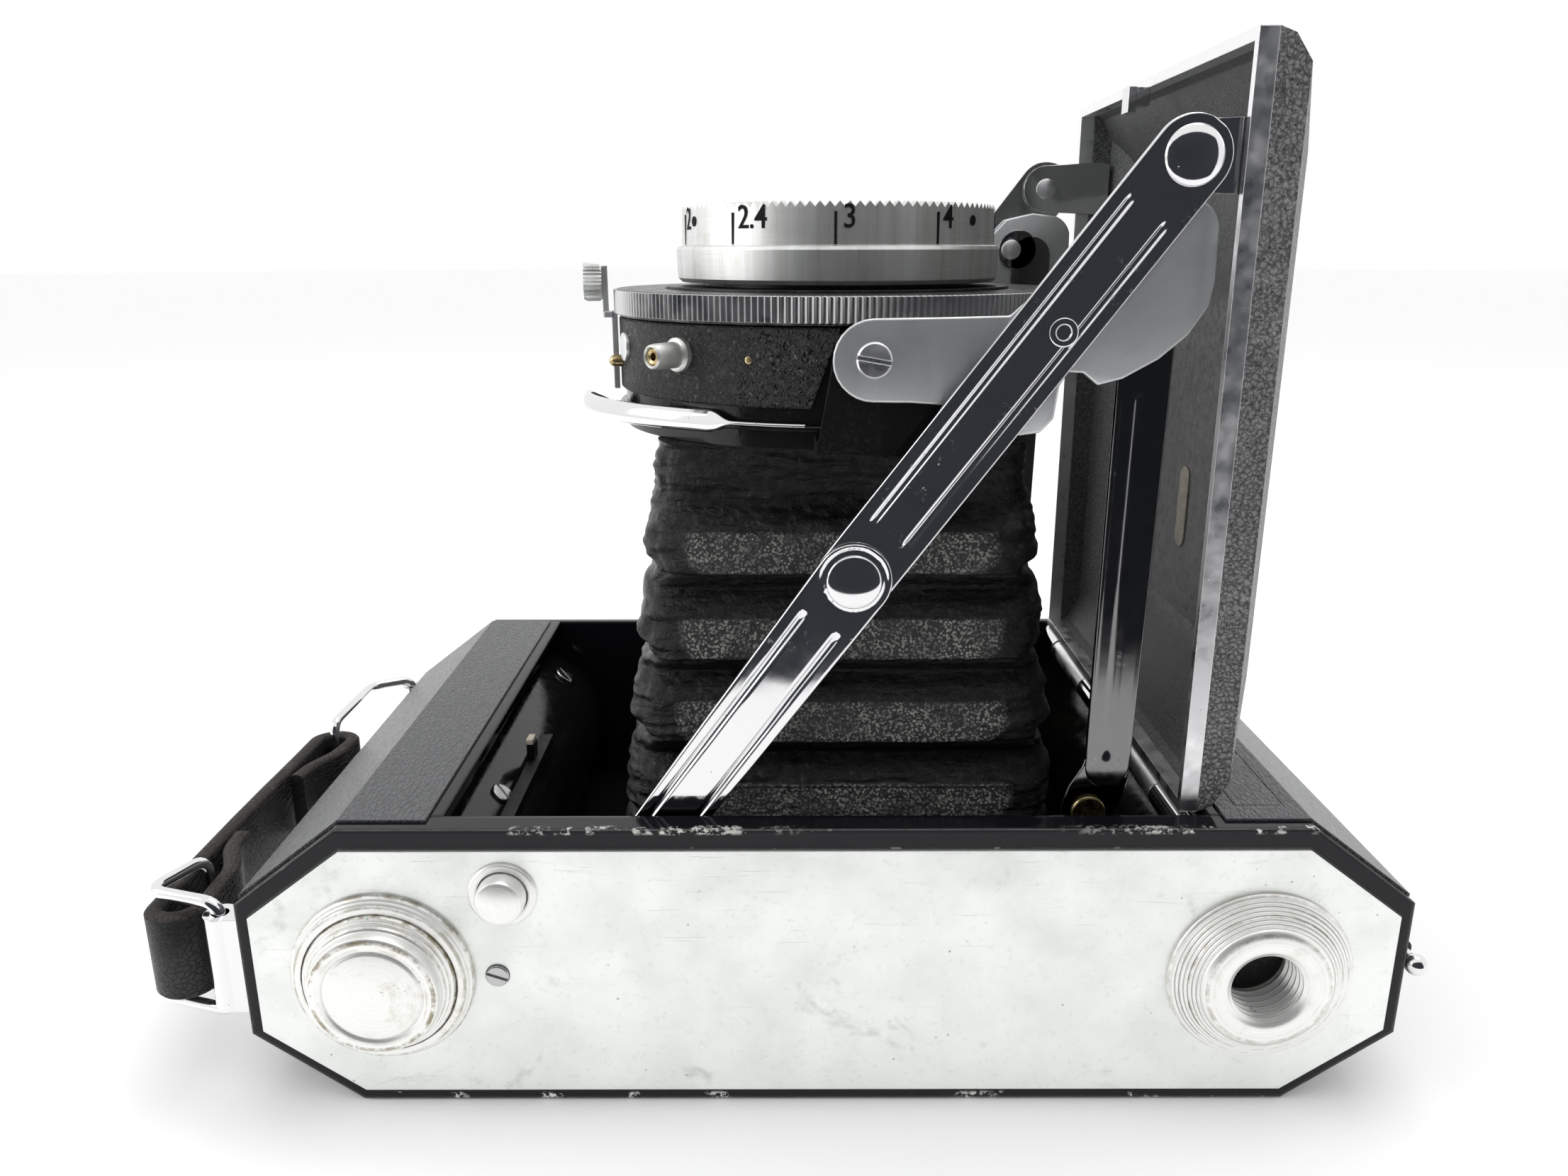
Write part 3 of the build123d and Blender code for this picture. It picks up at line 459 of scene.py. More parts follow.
def strap_leather(name, colour, rough):
    """Handled strap leather: smooth grain, hairline cracks and rubbed edges."""
    f = Finish(name, colour, rough, Specular_IOR_Level=0.3)
    cracks = f.span(f.cells(0.7, "DISTANCE_TO_EDGE", stretch=(1, 0.5, 1)), 0.0, 0.08)
    grain = f.noise(0.45, 4, 0.65)
    cloud = f.noise(6.0, 4)
    worn = f.both(f.edges(0.5), f.spots(1.2, 0.42, 0.6, 3))
    pale = tuple(min(1.0, channel * 2.2 + 0.02) for channel in colour)
    f.tint(f.span(cloud, 0.45, 0.75, 0, 0.6), pale, colour)
    f.tint(cracks, f.base, tuple(channel * 0.4 for channel in colour))
    f.tint(f.both(worn, 0.14), (0.1, 0.07, 0.05))
    f.roughen(grain, 0.3, 0.7, rough - 0.08, rough + 0.12)
    f.bump(cracks, 0.06)
    f.bump(grain, 0.07)
    f.bump(cloud, 0.2)
    return f.done()


def crinkle(name, tone, size, depth):
    """Crinkle lacquer: a fine brain-like wrinkle, its wrinkle lines painted lighter and scattered pale spots
    painted on as glints.
    """
    f = Finish(name, grey(tone), 0.3, Specular_IOR_Level=0.45)
    f.soften(0.25)
    ridge = f.noise(size, 3, 0.5, distortion=1.6)
    worm = f.math("ABSOLUTE", f.math("SUBTRACT", ridge, 0.5))
    worm = f.span(worm, 0.0, 0.14)
    painted_glint = f.spots(size * 0.7, 0.64, 0.72, 2)
    # Painted highlights: the wrinkle lines are painted lighter than the lacquer between them, and scattered
    # pale spots are painted glints.
    f.tint(worm, grey(tone * 0.35), (tone * 2.6, tone * 2.6, tone * 2.5))
    f.tint(f.both(painted_glint, 0.6), (0.2, 0.2, 0.19))
    f.roughen(worm, 0, 1, 0.5, 0.26)
    f.bump(worm, depth)
    return f.done()


def plain_black(name, tone, rough, dust=0.3):
    """Blackened metal with dust and a faint unevenness."""
    f = Finish(name, grey(tone), rough, Specular_IOR_Level=0.35)
    f.soften(0.15)
    film = f.both(f.spots(4.0, 0.45, 0.75, 5, 0.65), f.spots(0.5, 0.45, 0.7, 3))
    f.tint(f.both(film, dust), (0.12, 0.12, 0.11), grey(tone))
    f.roughen(f.noise(1.5, 3), 0.3, 0.7, rough - 0.06, rough + 0.1)
    f.bump(f.noise(0.6, 4), 0.015)
    return f.done()


def worn_paint():
    """The door's inside: dark grey paint, speckled and rubbed paler in a broad rectangle."""
    f = Finish("worn_grey_paint", (0.035, 0.037, 0.036), 0.5, Specular_IOR_Level=0.5)
    f.soften(0.3)
    speck = f.noise(0.3, 4, 0.7)
    field = f.both(f.between("Z", 48, 92, 1.2), f.between("Y", -18, 24, 1.2))
    rub = f.both(field, f.spots(1.0, 0.38, 0.6, 5, 0.75))
    streak = f.spots(8.0, 0.5, 0.72, 5, 0.65)
    f.tint(f.span(speck, 0.42, 0.62), (0.13, 0.137, 0.132), (0.035, 0.037, 0.037))
    f.tint(f.both(rub, 0.6), (0.27, 0.27, 0.255))
    f.tint(f.both(streak, 0.35), (0.12, 0.12, 0.115))
    f.roughen(speck, 0.3, 0.7, 0.36, 0.58)
    f.bump(speck, 0.05)
    return f.done()


def aged_brass():
    f = Finish("brass", (0.55, 0.41, 0.2), 0.3, 1.0)
    f.soften(0.12)
    tarnish = f.spots(0.9, 0.42, 0.66, 4, 0.7)
    f.tint(tarnish, (0.26, 0.18, 0.09), (0.66, 0.54, 0.3))
    f.roughen(tarnish, 0, 1, 0.24, 0.5)
    f.bump(f.noise(0.3, 3), 0.01)
    return f.done()


def coated_glass():
    """Dark coated glass with a faint dusty film."""
    f = Finish("optical_glass", (0.012, 0.014, 0.022), 0.03, Coat_Weight=1.0, Coat_Roughness=0.02)
    f.set("Coat Tint", (0.75, 0.8, 1.0, 1))
    film = f.spots(1.6, 0.55, 0.8, 4)
    f.tint(f.both(film, 0.25), (0.09, 0.1, 0.13), (0.012, 0.014, 0.022))
    f.roughen(film, 0, 1, 0.03, 0.12)
    return f.done()


def red_plastic():
    f = Finish("red_window", (0.24, 0.006, 0.006), 0.12, Coat_Weight=0.5)
    cloud = f.noise(2.0, 3)
    f.tint(f.span(cloud, 0.3, 0.7), (0.16, 0.004, 0.004), (0.3, 0.008, 0.006))
    f.bump(f.noise(0.4, 3), 0.01)
    return f.done()


def beige_patch():
    f = Finish("beige_patch", (0.55, 0.5, 0.42), 0.6)
    f.tint(f.spots(1.2, 0.35, 0.7, 4), (0.42, 0.37, 0.3), (0.62, 0.57, 0.48))
    f.bump(f.noise(0.5, 3), 0.03)
    return f.done()


def number_ink():
    f = Finish("number_ink", grey(0.006), 0.6, Specular_IOR_Level=0.1)
    f.tint(f.noise(0.3, 3), grey(0.014), grey(0.003))
    return f.done()


FINISH = {
    "black_enamel": black_enamel(),
    "satin_silver": satin_silver(),
    "chrome": chrome(),
    "grey_chrome": chrome("grey_chrome", 0.6, 0.14, 1.0),
    "worn_chrome": chrome("worn_chrome", 0.8, 0.07, 1.0),
    # Painted shade: a dark copy of chrome (tone 0.2) for the side arms, so they look dark all the way down.
    "shaded_arm_chrome": chrome("shaded_arm_chrome", 0.2, 0.1, 0.6),
    "knurl_metal": chrome("knurl_metal", 0.5, 0.34, 1.0),
    "housing_silver": chrome("housing_silver", 0.66, 0.28, 1.0),
    "dark_steel": plain_black("dark_steel", 0.004, 0.5, 0.0),
    "steel": chrome("steel", 0.52, 0.2, 0.8),
    "satin_nickel": satin_nickel(),
    "black_leather": ribbed_leather(),
    "door_leather": leather("door_leather", 0.15, 0.5, 0.12, 0.36, 0.08, 0.5),
    "bellows_leather": bellows_leather(),
    "strap_leather": strap_leather("strap_leather", (0.008, 0.008, 0.009), 0.36),
    "strap_edge": strap_leather("strap_edge", (0.024, 0.019, 0.016), 0.6),
    "black_crinkle": crinkle("black_crinkle", 0.013, 0.8, 0.3),
    "gloss_black": plain_black("gloss_black", 0.006, 0.12, 0.08),
    "worn_grey_paint": worn_paint(),
    "matte_black_paint": plain_black("matte_black_paint", 0.014, 0.32, 0.6),
    "film_knob_metal": turned_aluminium("film_knob_metal", (FILM_KNOB_X, SPOOL_Z), "XZ", 0.95),
    "tripod_metal": turned_aluminium("tripod_metal", (TRIPOD_X, SPOOL_Z), "XZ", 0.5),
    "button_metal": turned_aluminium("button_metal", BUTTON, "XZ", 0.25),
    "wind_metal": turned_aluminium("wind_metal", (50.6, SPOOL_Z), "XZ", 0.4),
    "brushed_aluminium": brushed_ring(),
    "brass": aged_brass(),
    "optical_glass": coated_glass(),
    "red_window": red_plastic(),
    "black_plastic": plain_black("black_plastic", 0.016, 0.22, 0.25),
    "dusty_black": plain_black("dusty_black", 0.012, 0.3, 1.0),
    # Partly painted light: a paler copy of chrome (tone 0.95) that makes the door rim, screw heads and rivet
    # ends look lit; its haze is a satin finish.
    "lit_rim_chrome": chrome("lit_rim_chrome", 0.95, 0.32, 0.1),
    "dome_bright": chrome("dome_bright", 0.8, 0.22, 0.6),
    "beige_patch": beige_patch(),
    "number_ink": number_ink(),
}

NODE_FINISH = {
    "tripod_socket": "tripod_metal",
    "bottom_collars": "film_knob_metal",
    "film_knob": "film_knob_metal",
    "door_button": "button_metal",
    "wind_knob": "wind_metal",
    "door_leather": "door_leather",
    "door_rim": "lit_rim_chrome",
    "top_housing": "housing_silver",
    "accessory_shoe": "housing_silver",
    "door_pins": "dome_bright",
    "bracket_screws": "lit_rim_chrome",
    "side_arm_far": "grey_chrome",
    "shutter_housing": "gloss_black",
    "standard_plate": "gloss_black",
    "film_chamber": "gloss_black",
    "door_catch": "dark_steel",
    "speed_ring": "brushed_aluminium",
}


def dress_nodes():
    """Gives every solid node its finish: its own, or its material slot's."""
    for part in frame["record"]["subparts"]:
        name = part["node"]
        finish = NODE_FINISH.get(name, part["material_slot"])
        mesh = frame["nodes"][name].data
        mesh.materials.clear()
        mesh.materials.append(FINISH[finish])


# Mesh tools.

def add(obj):
    bpy.context.scene.collection.objects.link(obj)


def piece(name, shape, finish, body, replaces=(), sharp=35, bevel=0.0):
    """A mesh object from a shape, its points in millimetres and its faces, riding on a body."""
    verts, faces = shape
    mesh = bpy.data.meshes.new(name)
    mesh.from_pydata([[c * MM for c in v] for v in verts], [], faces)
    made = bmesh.new()
    made.from_mesh(mesh)
    bmesh.ops.remove_doubles(made, verts=made.verts, dist=0.002 * MM)
    bmesh.ops.dissolve_degenerate(made, edges=made.edges, dist=0.001 * MM)
    bmesh.ops.recalc_face_normals(made, faces=made.faces)
    if bevel:
        corners = [e for e in made.edges if len(e.link_faces) == 2 and e.calc_face_angle(0) > 0.6]
        bmesh.ops.bevel(made, geom=corners, offset=bevel * MM, segments=3, profile=0.5,
                        affect="EDGES", clamp_overlap=True)
    made.to_mesh(mesh)
    made.free()
    for polygon in mesh.polygons:
        polygon.use_smooth = True
    mesh.set_sharp_from_angle(angle=radians(sharp))
    mesh.materials.append(FINISH[finish])
    obj = bpy.data.objects.new(name, mesh)
    add(obj)
    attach(obj, body)
    if replaces:
        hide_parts(*replaces)
    return obj


def skin(rings, loop=False, caps=True):
    """Points and faces joining rings of equal length, closed round each ring."""
    count = len(rings[0])
    verts = [point for ring in rings for point in ring]
    faces = []
    last = len(rings) if loop else len(rings) - 1
    for i in range(last):
        a, b = i * count, ((i + 1) % len(rings)) * count
        for j in range(count):
            k = (j + 1) % count
            faces.append((a + j, a + k, b + k, b + j))
    if caps and not loop:
        faces.append(tuple(range(count))[::-1])
        faces.append(tuple(range((len(rings) - 1) * count, len(rings) * count)))
    return verts, faces


def merge(*parts):
    """Joins several (points, faces) pairs into one."""
    verts, faces = [], []
    for more_verts, more_faces in parts:
        start = len(verts)
        verts += more_verts
        faces += [tuple(i + start for i in face) for face in more_faces]
    return verts, faces


def spin(profile, centre, axis, steps=96, tooth=None):
    """Turns a closed profile of (radius, height) points about an axis direction through centre."""
    up = Vector(axis).normalized()
    side = up.orthogonal().normalized() if abs(up.z) < 0.9 else Vector((1, 0, 0))
    across = up.cross(side)
    rings = []
    for i in range(steps):
        angle = radians(360.0 * i / steps)
        out = side * cos(angle) + across * sin(angle)
        ring = []
        for radius, height in profile:
            reach = radius + (tooth(i, radius) if tooth else 0.0)
            ring.append(tuple(Vector(centre) + out * reach + up * height))
        rings.append(ring)
    return skin(rings, loop=True)


def about_lens(profile, steps, tooth=None):
    """Turns a profile about the lens axis; its heights are the frame's own."""
    return spin(profile, (*LENS, 0), (0, 0, 1), steps, tooth)


def on_plate(profile, x, z, steps):
    """Turns a profile that stands on the bottom plate."""
    return spin(profile, (x, PLATE_Y, z), (0, -1, 0), steps)


def arc(cx, cy, r, start, end, steps=5):
    """Points of an arc, angles in degrees."""
    turns = [radians(start + (end - start) * i / steps) for i in range(steps + 1)]
    return [(cx + r * cos(t), cy + r * sin(t)) for t in turns]


def rounded(points, radius, steps=5):
    """A path of 3-D points with each inner corner turned into an arc-like curve."""
    out = [Vector(points[0])]
    for before, corner, after in zip(points, points[1:], points[2:]):
        before, corner, after = Vector(before), Vector(corner), Vector(after)
        reach = min(radius, (before - corner).length * 0.48, (after - corner).length * 0.48)
        a = corner + (before - corner).normalized() * reach
        b = corner + (after - corner).normalized() * reach
        for i in range(steps + 1):
            t = i / steps
            out.append(a * (1 - t) ** 2 + corner * 2 * t * (1 - t) + b * t * t)
    out.append(Vector(points[-1]))
    return out


def sweep(path, section):
    """Moves a closed section, given by a function as (across, up) points, along a level path."""
    rings = []
    last = len(path) - 1
    up = Vector((0, 0, 1))
    for i, at in enumerate(path):
        run = (path[min(i + 1, last)] - path[max(i - 1, 0)]).normalized()
        across = run.cross(up).normalized()
        rise = across.cross(run).normalized()
        rings.append([tuple(at + across * u + rise * v) for u, v in section(i / last)])
    return skin(rings)


def wire_loop(points, radius, corner, sides=14):
    """A closed bent wire of round section, with parallel-transported rings."""
    closed = points + points[:2]
    path = rounded(closed, corner, 6)[1:-1]
    tangent = (path[1] - path[-1]).normalized()
    across = tangent.orthogonal().normalized()
    rings = []
    count = len(path)
    for i, at in enumerate(path):
        run = (path[(i + 1) % count] - path[i - 1]).normalized()
        across = (across - run * across.dot(run)).normalized()
        rise = run.cross(across)
        turn = [tau * k / sides for k in range(sides)]
        rings.append([tuple(at + (across * cos(t) + rise * sin(t)) * radius) for t in turn])
    first = Vector(rings[0][0]) - path[0]
    errors = []
    for shift in range(sides):
        errors.append(((Vector(rings[-1][shift]) - path[-1]).normalized() - first.normalized()).length)
    shift = errors.index(min(errors))
    verts, faces = skin(rings, caps=False)
    last = (count - 1) * sides
    for k in range(sides):
        a, b = last + (k + shift) % sides, last + (k + 1 + shift) % sides
        faces.append((a, b, (k + 1) % sides, k))
    return verts, faces


def sheet_y(span, side):
    """The (inner, outer) Y of a linkage sheet on one side of the camera."""
    return MID_Y + side * span[0], MID_Y + side * span[1]


def smooth_step(value, low, high):
    t = max(0.0, min(1.0, (value - low) / (high - low)))
    return t * t * (3 - 2 * t)


# Struts and arms.

def pressed_strip(name, a, b, ra, rb, span, side, relief, finish, body, replaces):
    """A flat strip with round ends from a to b, its outer face shaped by relief(u, w, length)."""
    inner, outer = sheet_y(span, side)
    thick = outer - inner
    run = Vector((b[0] - a[0], b[1] - a[1]))
    length = run.length
    along = run / length
    across = Vector((-along.y, along.x))
    lanes = [0.0, 0.12, 0.25, 0.36, 0.42, 0.46, 0.49, 0.52, 0.56, 0.6, 0.64, 0.68, 0.71, 0.75, 0.79,
             0.84, 0.89, 0.93, 0.965, 0.985, 1.0]
    lanes = [-v for v in reversed(lanes[1:])] + lanes
    stations = [-ra * cos(radians(90 * i / 14)) for i in range(14)]
    middle = max(2, int(length / 0.35))
    stations += [length * i / middle for i in range(middle + 1)]
    stations += [length + rb * sin(radians(90 * i / 14)) for i in range(1, 15)]
    rings = []
    for u in stations:
        if u < 0:
            half = sqrt(max(0.0, ra * ra - u * u))
        elif u > length:
            half = sqrt(max(0.0, rb * rb - (u - length) ** 2))
        else:
            half = ra + (rb - ra) * u / length
        ends = min(u + ra, length + rb - u)
        front, back = [], []
        for lane in lanes:
            w = lane * half
            edge = min(half - abs(w), ends)
            drop = 0.22 * (1 - sqrt(max(0.0, 1 - max(0.0, 1 - edge / 0.22) ** 2)))
            lift = relief(u, w, length)
            x, z = a[0] + along.x * u + across.x * w, a[1] + along.y * u + across.y * w
            y = outer - copysign(1, thick) * (drop - lift)
            front.append((x, y, z))
            back.append((x, inner, z))
        rings.append(front + back[::-1])
    return piece(name, skin(rings), finish, body, replaces, sharp=50)


def groove(w, centre, width, depth):
    """A rounded channel along the strip."""
    away = abs(abs(w) - centre)
    return -depth * (1 - smooth_step(away, width * 0.35, width))


def strut_relief(start, end, ring_at):
    """Two long channels between start and end, and a pressed ring about a pivot."""
    def relief(u, w, length):
        fade = smooth_step(u, start - 0.5, start + 0.3) * (1 - smooth_step(u, end - 0.3, end + 0.5))
        lift = groove(w, 2.25, 0.5, 0.3) * fade
        reach = hypot(u - ring_at, w)
        lift += -0.16 * (1 - smooth_step(abs(reach - 3.5), 0.12, 0.34))
        return lift
    return relief


def dome_profile(radius, height, rim=0.25):
    """The closed half-section of a low domed rivet head standing on a plane."""
    points = [(0.0, -0.3), (radius, -0.3), (radius, rim)]
    steps = 10
    for i in range(1, steps + 1):
        turn = i / steps * pi / 2
        points.append((radius * cos(turn), rim + (height - rim) * sin(turn)))
    return points


def rivet(name, at, y, side, radius, height, body, replaces, hollow=0.0):
    """A rivet head on a sheet: domed, or an eyelet with an open middle."""
    if hollow:
        profile = [(hollow, -0.55), (hollow + 0.12, height * 0.7)]
        lip = arc((radius + hollow) / 2, 0.0, (radius - hollow) / 2, 160, 0, 6)
        profile += [(u, height * 0.55 + v * 0.25) for u, v in lip]
        profile += [(radius, -0.3)]
    else:
        profile = dome_profile(radius, height)
    piece(name, spin(profile, (at[0], y, at[1]), (0, side, 0), 56), "chrome", body, replaces)


def build_struts():
    for side, word in ((-1, "near"), (1, "far")):
        length = dist(PIVOT_DOOR, PIVOT_MID)
        pressed_strip(f"upper_strut_{word}_pressed", PIVOT_DOOR, PIVOT_MID, 4.0, 4.2, UPPER_SHEET, side,
                      strut_relief(6.6, length - 6.4, length), "worn_chrome", "upper_struts",
                      [f"upper_strut_{word}"])
        pressed_strip(f"lower_strut_{word}_pressed", PIVOT_MID, PIVOT_ROOT, 4.2, 3.4, LOWER_SHEET, side,
                      strut_relief(6.4, dist(PIVOT_MID, PIVOT_ROOT) - 2.0, 0.0), "chrome", "lower_struts",
                      [f"lower_strut_{word}"])
        arm_a, arm_b = (33.2, 40.0), (33.9, 97.0)
        pressed_strip(f"side_arm_{word}_pressed", arm_a, arm_b, 2.6, 2.95, ARM_SHEET, side, arm_relief,
                      "shaded_arm_chrome", "side_arms", [f"side_arm_{word}"])
        arm_feet(side, word)
        lower_y = sheet_y(LOWER_SHEET, side)[1]
        upper_y = sheet_y(UPPER_SHEET, side)[1]
        rivet(f"mid_rivet_{word}", PIVOT_MID, lower_y, side, 3.0, 0.75, "lower_struts", ["mid_rivets"])
        rivet(f"door_rivet_{word}", PIVOT_DOOR, upper_y, side, 3.0, 1.1, "door", ["door_pins"])
        rivet(f"eyelet_{word}", PIVOT_RIVET, upper_y, side, 1.5, 0.12, "upper_struts", ["hollow_rivets"],
              hollow=0.75)
        piece(f"eyelet_core_{word}", spin([(0.0, -0.9), (0.76, -0.9), (0.76, -0.45), (0.0, -0.45)],
                                          (PIVOT_RIVET[0], upper_y, PIVOT_RIVET[1]), (0, side, 0), 24),
              "matte_black_paint", "upper_struts")


def arm_relief(u, w, length):
    """A narrow channel down the side arm, between faintly raised edges."""
    fade = smooth_step(u, 0.6, 2.2) * (1 - smooth_step(u, length - 14.5, length - 13.0))
    channel = -0.24 * (1 - smooth_step(abs(w - 0.3), 0.25, 0.6))
    lip = 0.1 * smooth_step(abs(w), 2.1, 2.5)
    return (channel + lip) * fade


def flat_plate(name, outline, span, side, finish, body, replaces=(), bevel=0.18):
    """A sheet of metal with softened edges, from its outline in (x, z)."""
    inner, outer = sheet_y(span, side)
    rings = [[(x, y, z) for x, z in outline] for y in (inner, outer)]
    return piece(name, skin(rings), finish, body, replaces, bevel=bevel)


def arm_feet(side, word):
    """The arm's lower end bends out to its pivot."""
    x, z = PIVOT_ARM
    points = [(35.8, 41.4), (30.7, 41.4), (30.3, 40.0), (28.9, 37.6)]
    points += arc(x, z, 3.2, 165, 330, 12)
    points += [(35.3, 36.4), (35.8, 38.4)]
    flat_plate(f"side_arm_foot_{word}", points, (ARM_SHEET[0], ARM_SHEET[1] - 0.1), side, "shaded_arm_chrome",
               "side_arms")
    top = arc(PIVOT_ARM_TOP[0] + 1.0, PIVOT_ARM_TOP[1], 3.0, -90, 270, 24)[:-1]
    flat_plate(f"side_arm_top_{word}", top, (ARM_SHEET[0], ARM_SHEET[1] - 0.1), side, "shaded_arm_chrome",
               "side_arms")
    y = sheet_y(ARM_SHEET, side)[1]
    piece(f"arm_washer_{word}", spin([(0.0, -0.3), (2.0, -0.3), (2.0, 0.25), (1.85, 0.45), (1.1, 0.5),
                                      (0.9, 0.3), (0.0, 0.3)], (x, y, z), (0, side, 0), 40), "brass",
          "chassis")


def bracket_outline():
    points = arc(5.0, 86.9, 4.35, 270, 92, 14)
    points += [(12.0, 91.35), (19.0, 91.5), (24.0, 96.0), (30.0, 102.5), (34.0, 103.4)]
    points += arc(36.4, 99.6, 3.6, 70, 15, 4)
    points += [(40.0, 95.0), (39.6, 92.4), (37.6, 89.4), (34.8, 87.0), (31.2, 85.0), (28.6, 84.3)]
    points += [(27.0, 85.6), (25.4, 85.7), (24.6, 84.2), (24.2, 80.8), (22.8, 79.3), (20.6, 79.0)]
    points += [(18.6, 79.6), (16.2, 81.2), (13.0, 82.2), (9.0, 82.5)]
    return points


def build_brackets():
    for side, word in ((-1, "near"), (1, "far")):
        flat_plate(f"bracket_{word}_plate", bracket_outline(), BRACKET_SHEET, side, "satin_nickel",
                   "brackets", [f"bracket_{word}"], bevel=0.22)


# Shutter and lens.

def build_speed_ring():
    """The knurled ring round the shutter: straight teeth up to its top edge, round a dark dial face."""
    low, high = SPEED_Z
    teeth, per = 235, 4
    shape = (0.0, 0.22, 0.32, 0.22)

    def tooth(i, radius):
        if radius < SPEED_R - 0.05:
            return 0.0
        return shape[i % per] - 0.32

    profile = [(22.2, low), (SPEED_R - 0.6, low), (SPEED_R, low + 0.3), (SPEED_R, high - 0.12),
               (SPEED_R - 0.35, high - 0.05), (SPEED_R - 0.45, high - 0.12), (25.0, high - 0.12),
               (22.2, high - 0.12)]
    piece("speed_ring_knurled", about_lens(profile, teeth * per, tooth), "knurl_metal", "speed",
          ["speed_ring"], sharp=28)
    profile = [(22.3, high - 0.15), (SPEED_R - 0.42, high - 0.15), (SPEED_R - 0.45, high), (22.3, high)]
    piece("speed_dial_face", about_lens(profile, 128), "dusty_black", "speed")


def build_focus_ring():
    """The focusing ring: V-toothed top edge over a plain band, a step and a lower band."""
    low, high = FOCUS_Z
    step = FOCUS_STEP
    teeth, per = 110, 4
    shape = (0.0, 0.5, 1.0, 0.5)
    r = FOCUS_R
    profile = [(17.2, low), (r + 0.1, low), (r + 0.6, low + 0.5), (r + 0.75, step - 0.4), (r + 0.55, step),
               (r, step + 0.12), (r - 0.08, high - 1.2), (r - 0.1, high), (r - 1.3, high),
               (r - 1.5, high - 0.7), (17.9, high - 0.7), (17.2, high - 1.2)]

    verts, faces = about_lens(profile, teeth * per)
    for i, (x, y, z) in enumerate(verts):
        if z > high - 0.01:
            turn = atan2(y - LENS[1], x - LENS[0]) / tau * teeth * per
            verts[i] = (x, y, z - 0.62 * shape[round(turn) % per])
    piece("focus_ring_toothed", (verts, faces), "brushed_aluminium", "focus",
          ["focus_ring"], sharp=28)


def on_cylinder(radius, angle, rise, centre=LENS):
    """A point on a cylinder about the lens axis; angle in radians from the front, rising to the right."""
    return (centre[0] + radius * sin(angle), centre[1] - radius * cos(angle), rise)


def build_scale():
    """Distances in metres round the focusing ring, each with its tick."""
    radius = FOCUS_R + 0.015
    marks = [("2", -73.0), ("2.4", -40.0), ("3", -3.0), ("4", 33.1), ("6", 78.0), ("10", 112.0)]
    step = FOCUS_STEP
    for label, degrees in marks:
        font = bpy.data.curves.new(f"label_{label}", "FONT")
        font.body = label
        font.size = 3.7 * MM
        font.offset = 0.025 * MM
        font.extrude = 0.02 * MM
        font.resolution_u = 3
        flat = bpy.data.objects.new(f"label_{label}", font)
        add(flat)
        bpy.context.view_layer.update()
        made = bpy.data.meshes.new_from_object(flat.evaluated_get(bpy.context.evaluated_depsgraph_get()))
        bpy.data.objects.remove(flat)
        verts = []
        start = radians(degrees)
        for v in made.vertices:
            x, y, z = v.co.x / MM, v.co.y / MM, v.co.z / MM
            verts.append(on_cylinder(radius + z, start + (0.75 + x * 0.9) / radius, step + 2.0 + y))
        faces = [tuple(p.vertices) for p in made.polygons]
        name = "scale_" + label.replace(".", "_")
        piece(name, (verts, faces), "number_ink", "focus", sharp=80)
        half = 0.16 / radius
        corners = []
        for rise in (step + 0.2, step + 3.75):
            corners.append([on_cylinder(radius + out, start + turn, rise) for out, turn in
                            ((-0.05, -half), (0.02, -half), (0.02, half), (-0.05, half))])
        piece(name + "_tick", skin(corners), "number_ink", "focus")
    for word, degrees in (("left", -63.0), ("right", 51.0)):
        centre = on_cylinder(radius, radians(degrees), step + 2.9)
        out = Vector(centre) - Vector((*LENS, centre[2]))
        piece(f"scale_hole_{word}", spin([(0.0, -0.02), (0.6, -0.02), (0.6, 0.015), (0.0, 0.015)], centre,
                                         out, 20), "number_ink", "focus")


def band(r_in, r_out, z_low, z_high, start, end, soft=0.2, steps=80, slant=0.0):
    """A curved plate about the lens axis, angles in degrees anticlockwise from +X."""
    rings = []
    for i in range(steps + 1):
        t = i / steps
        ring = []
        for radius, rise in ((r_in, z_low), (r_out - soft, z_low), (r_out, z_low + soft),
                             (r_out, z_high - soft), (r_out - soft, z_high), (r_in, z_high)):
            lean = slant * (rise - z_low) / (z_high - z_low)
            angle = radians(start + (end + lean - start) * t)
            ring.append((LENS[0] + radius * cos(angle), LENS[1] + radius * sin(angle), rise))
        rings.append(ring)
    return skin(rings)


def build_housing():
    """The shutter's case: smooth drum, wrapped crinkle jacket, thin base flange."""
    low, high = BASE_Z[1], HOUSING_TOP
    r = HOUSING_R
    profile = [(16.9, low), (r - 0.9, low), (r - 0.6, low + 0.2), (r - 0.6, high - 0.3), (r - 0.9, high),
               (16.9, high)]
    piece("shutter_drum", about_lens(profile, 160), "gloss_black", "standard",
          ["shutter_housing"])
    piece("shutter_jacket", band(r - 0.7, r, low + 2.4, high, 95, 262, slant=6.5), "black_crinkle",
          "standard")
    piece("shutter_flange", band(r - 0.7, r + 0.25, low - 0.1, low + 0.55, 150, 300, soft=0.15),
          "gloss_black", "standard")


def outward(angle, radius, rise):
    """A point and outward direction on a circle about the lens axis."""
    turn = radians(angle)
    out = Vector((cos(turn), sin(turn), 0))
    return Vector((*LENS, rise)) + out * radius, out


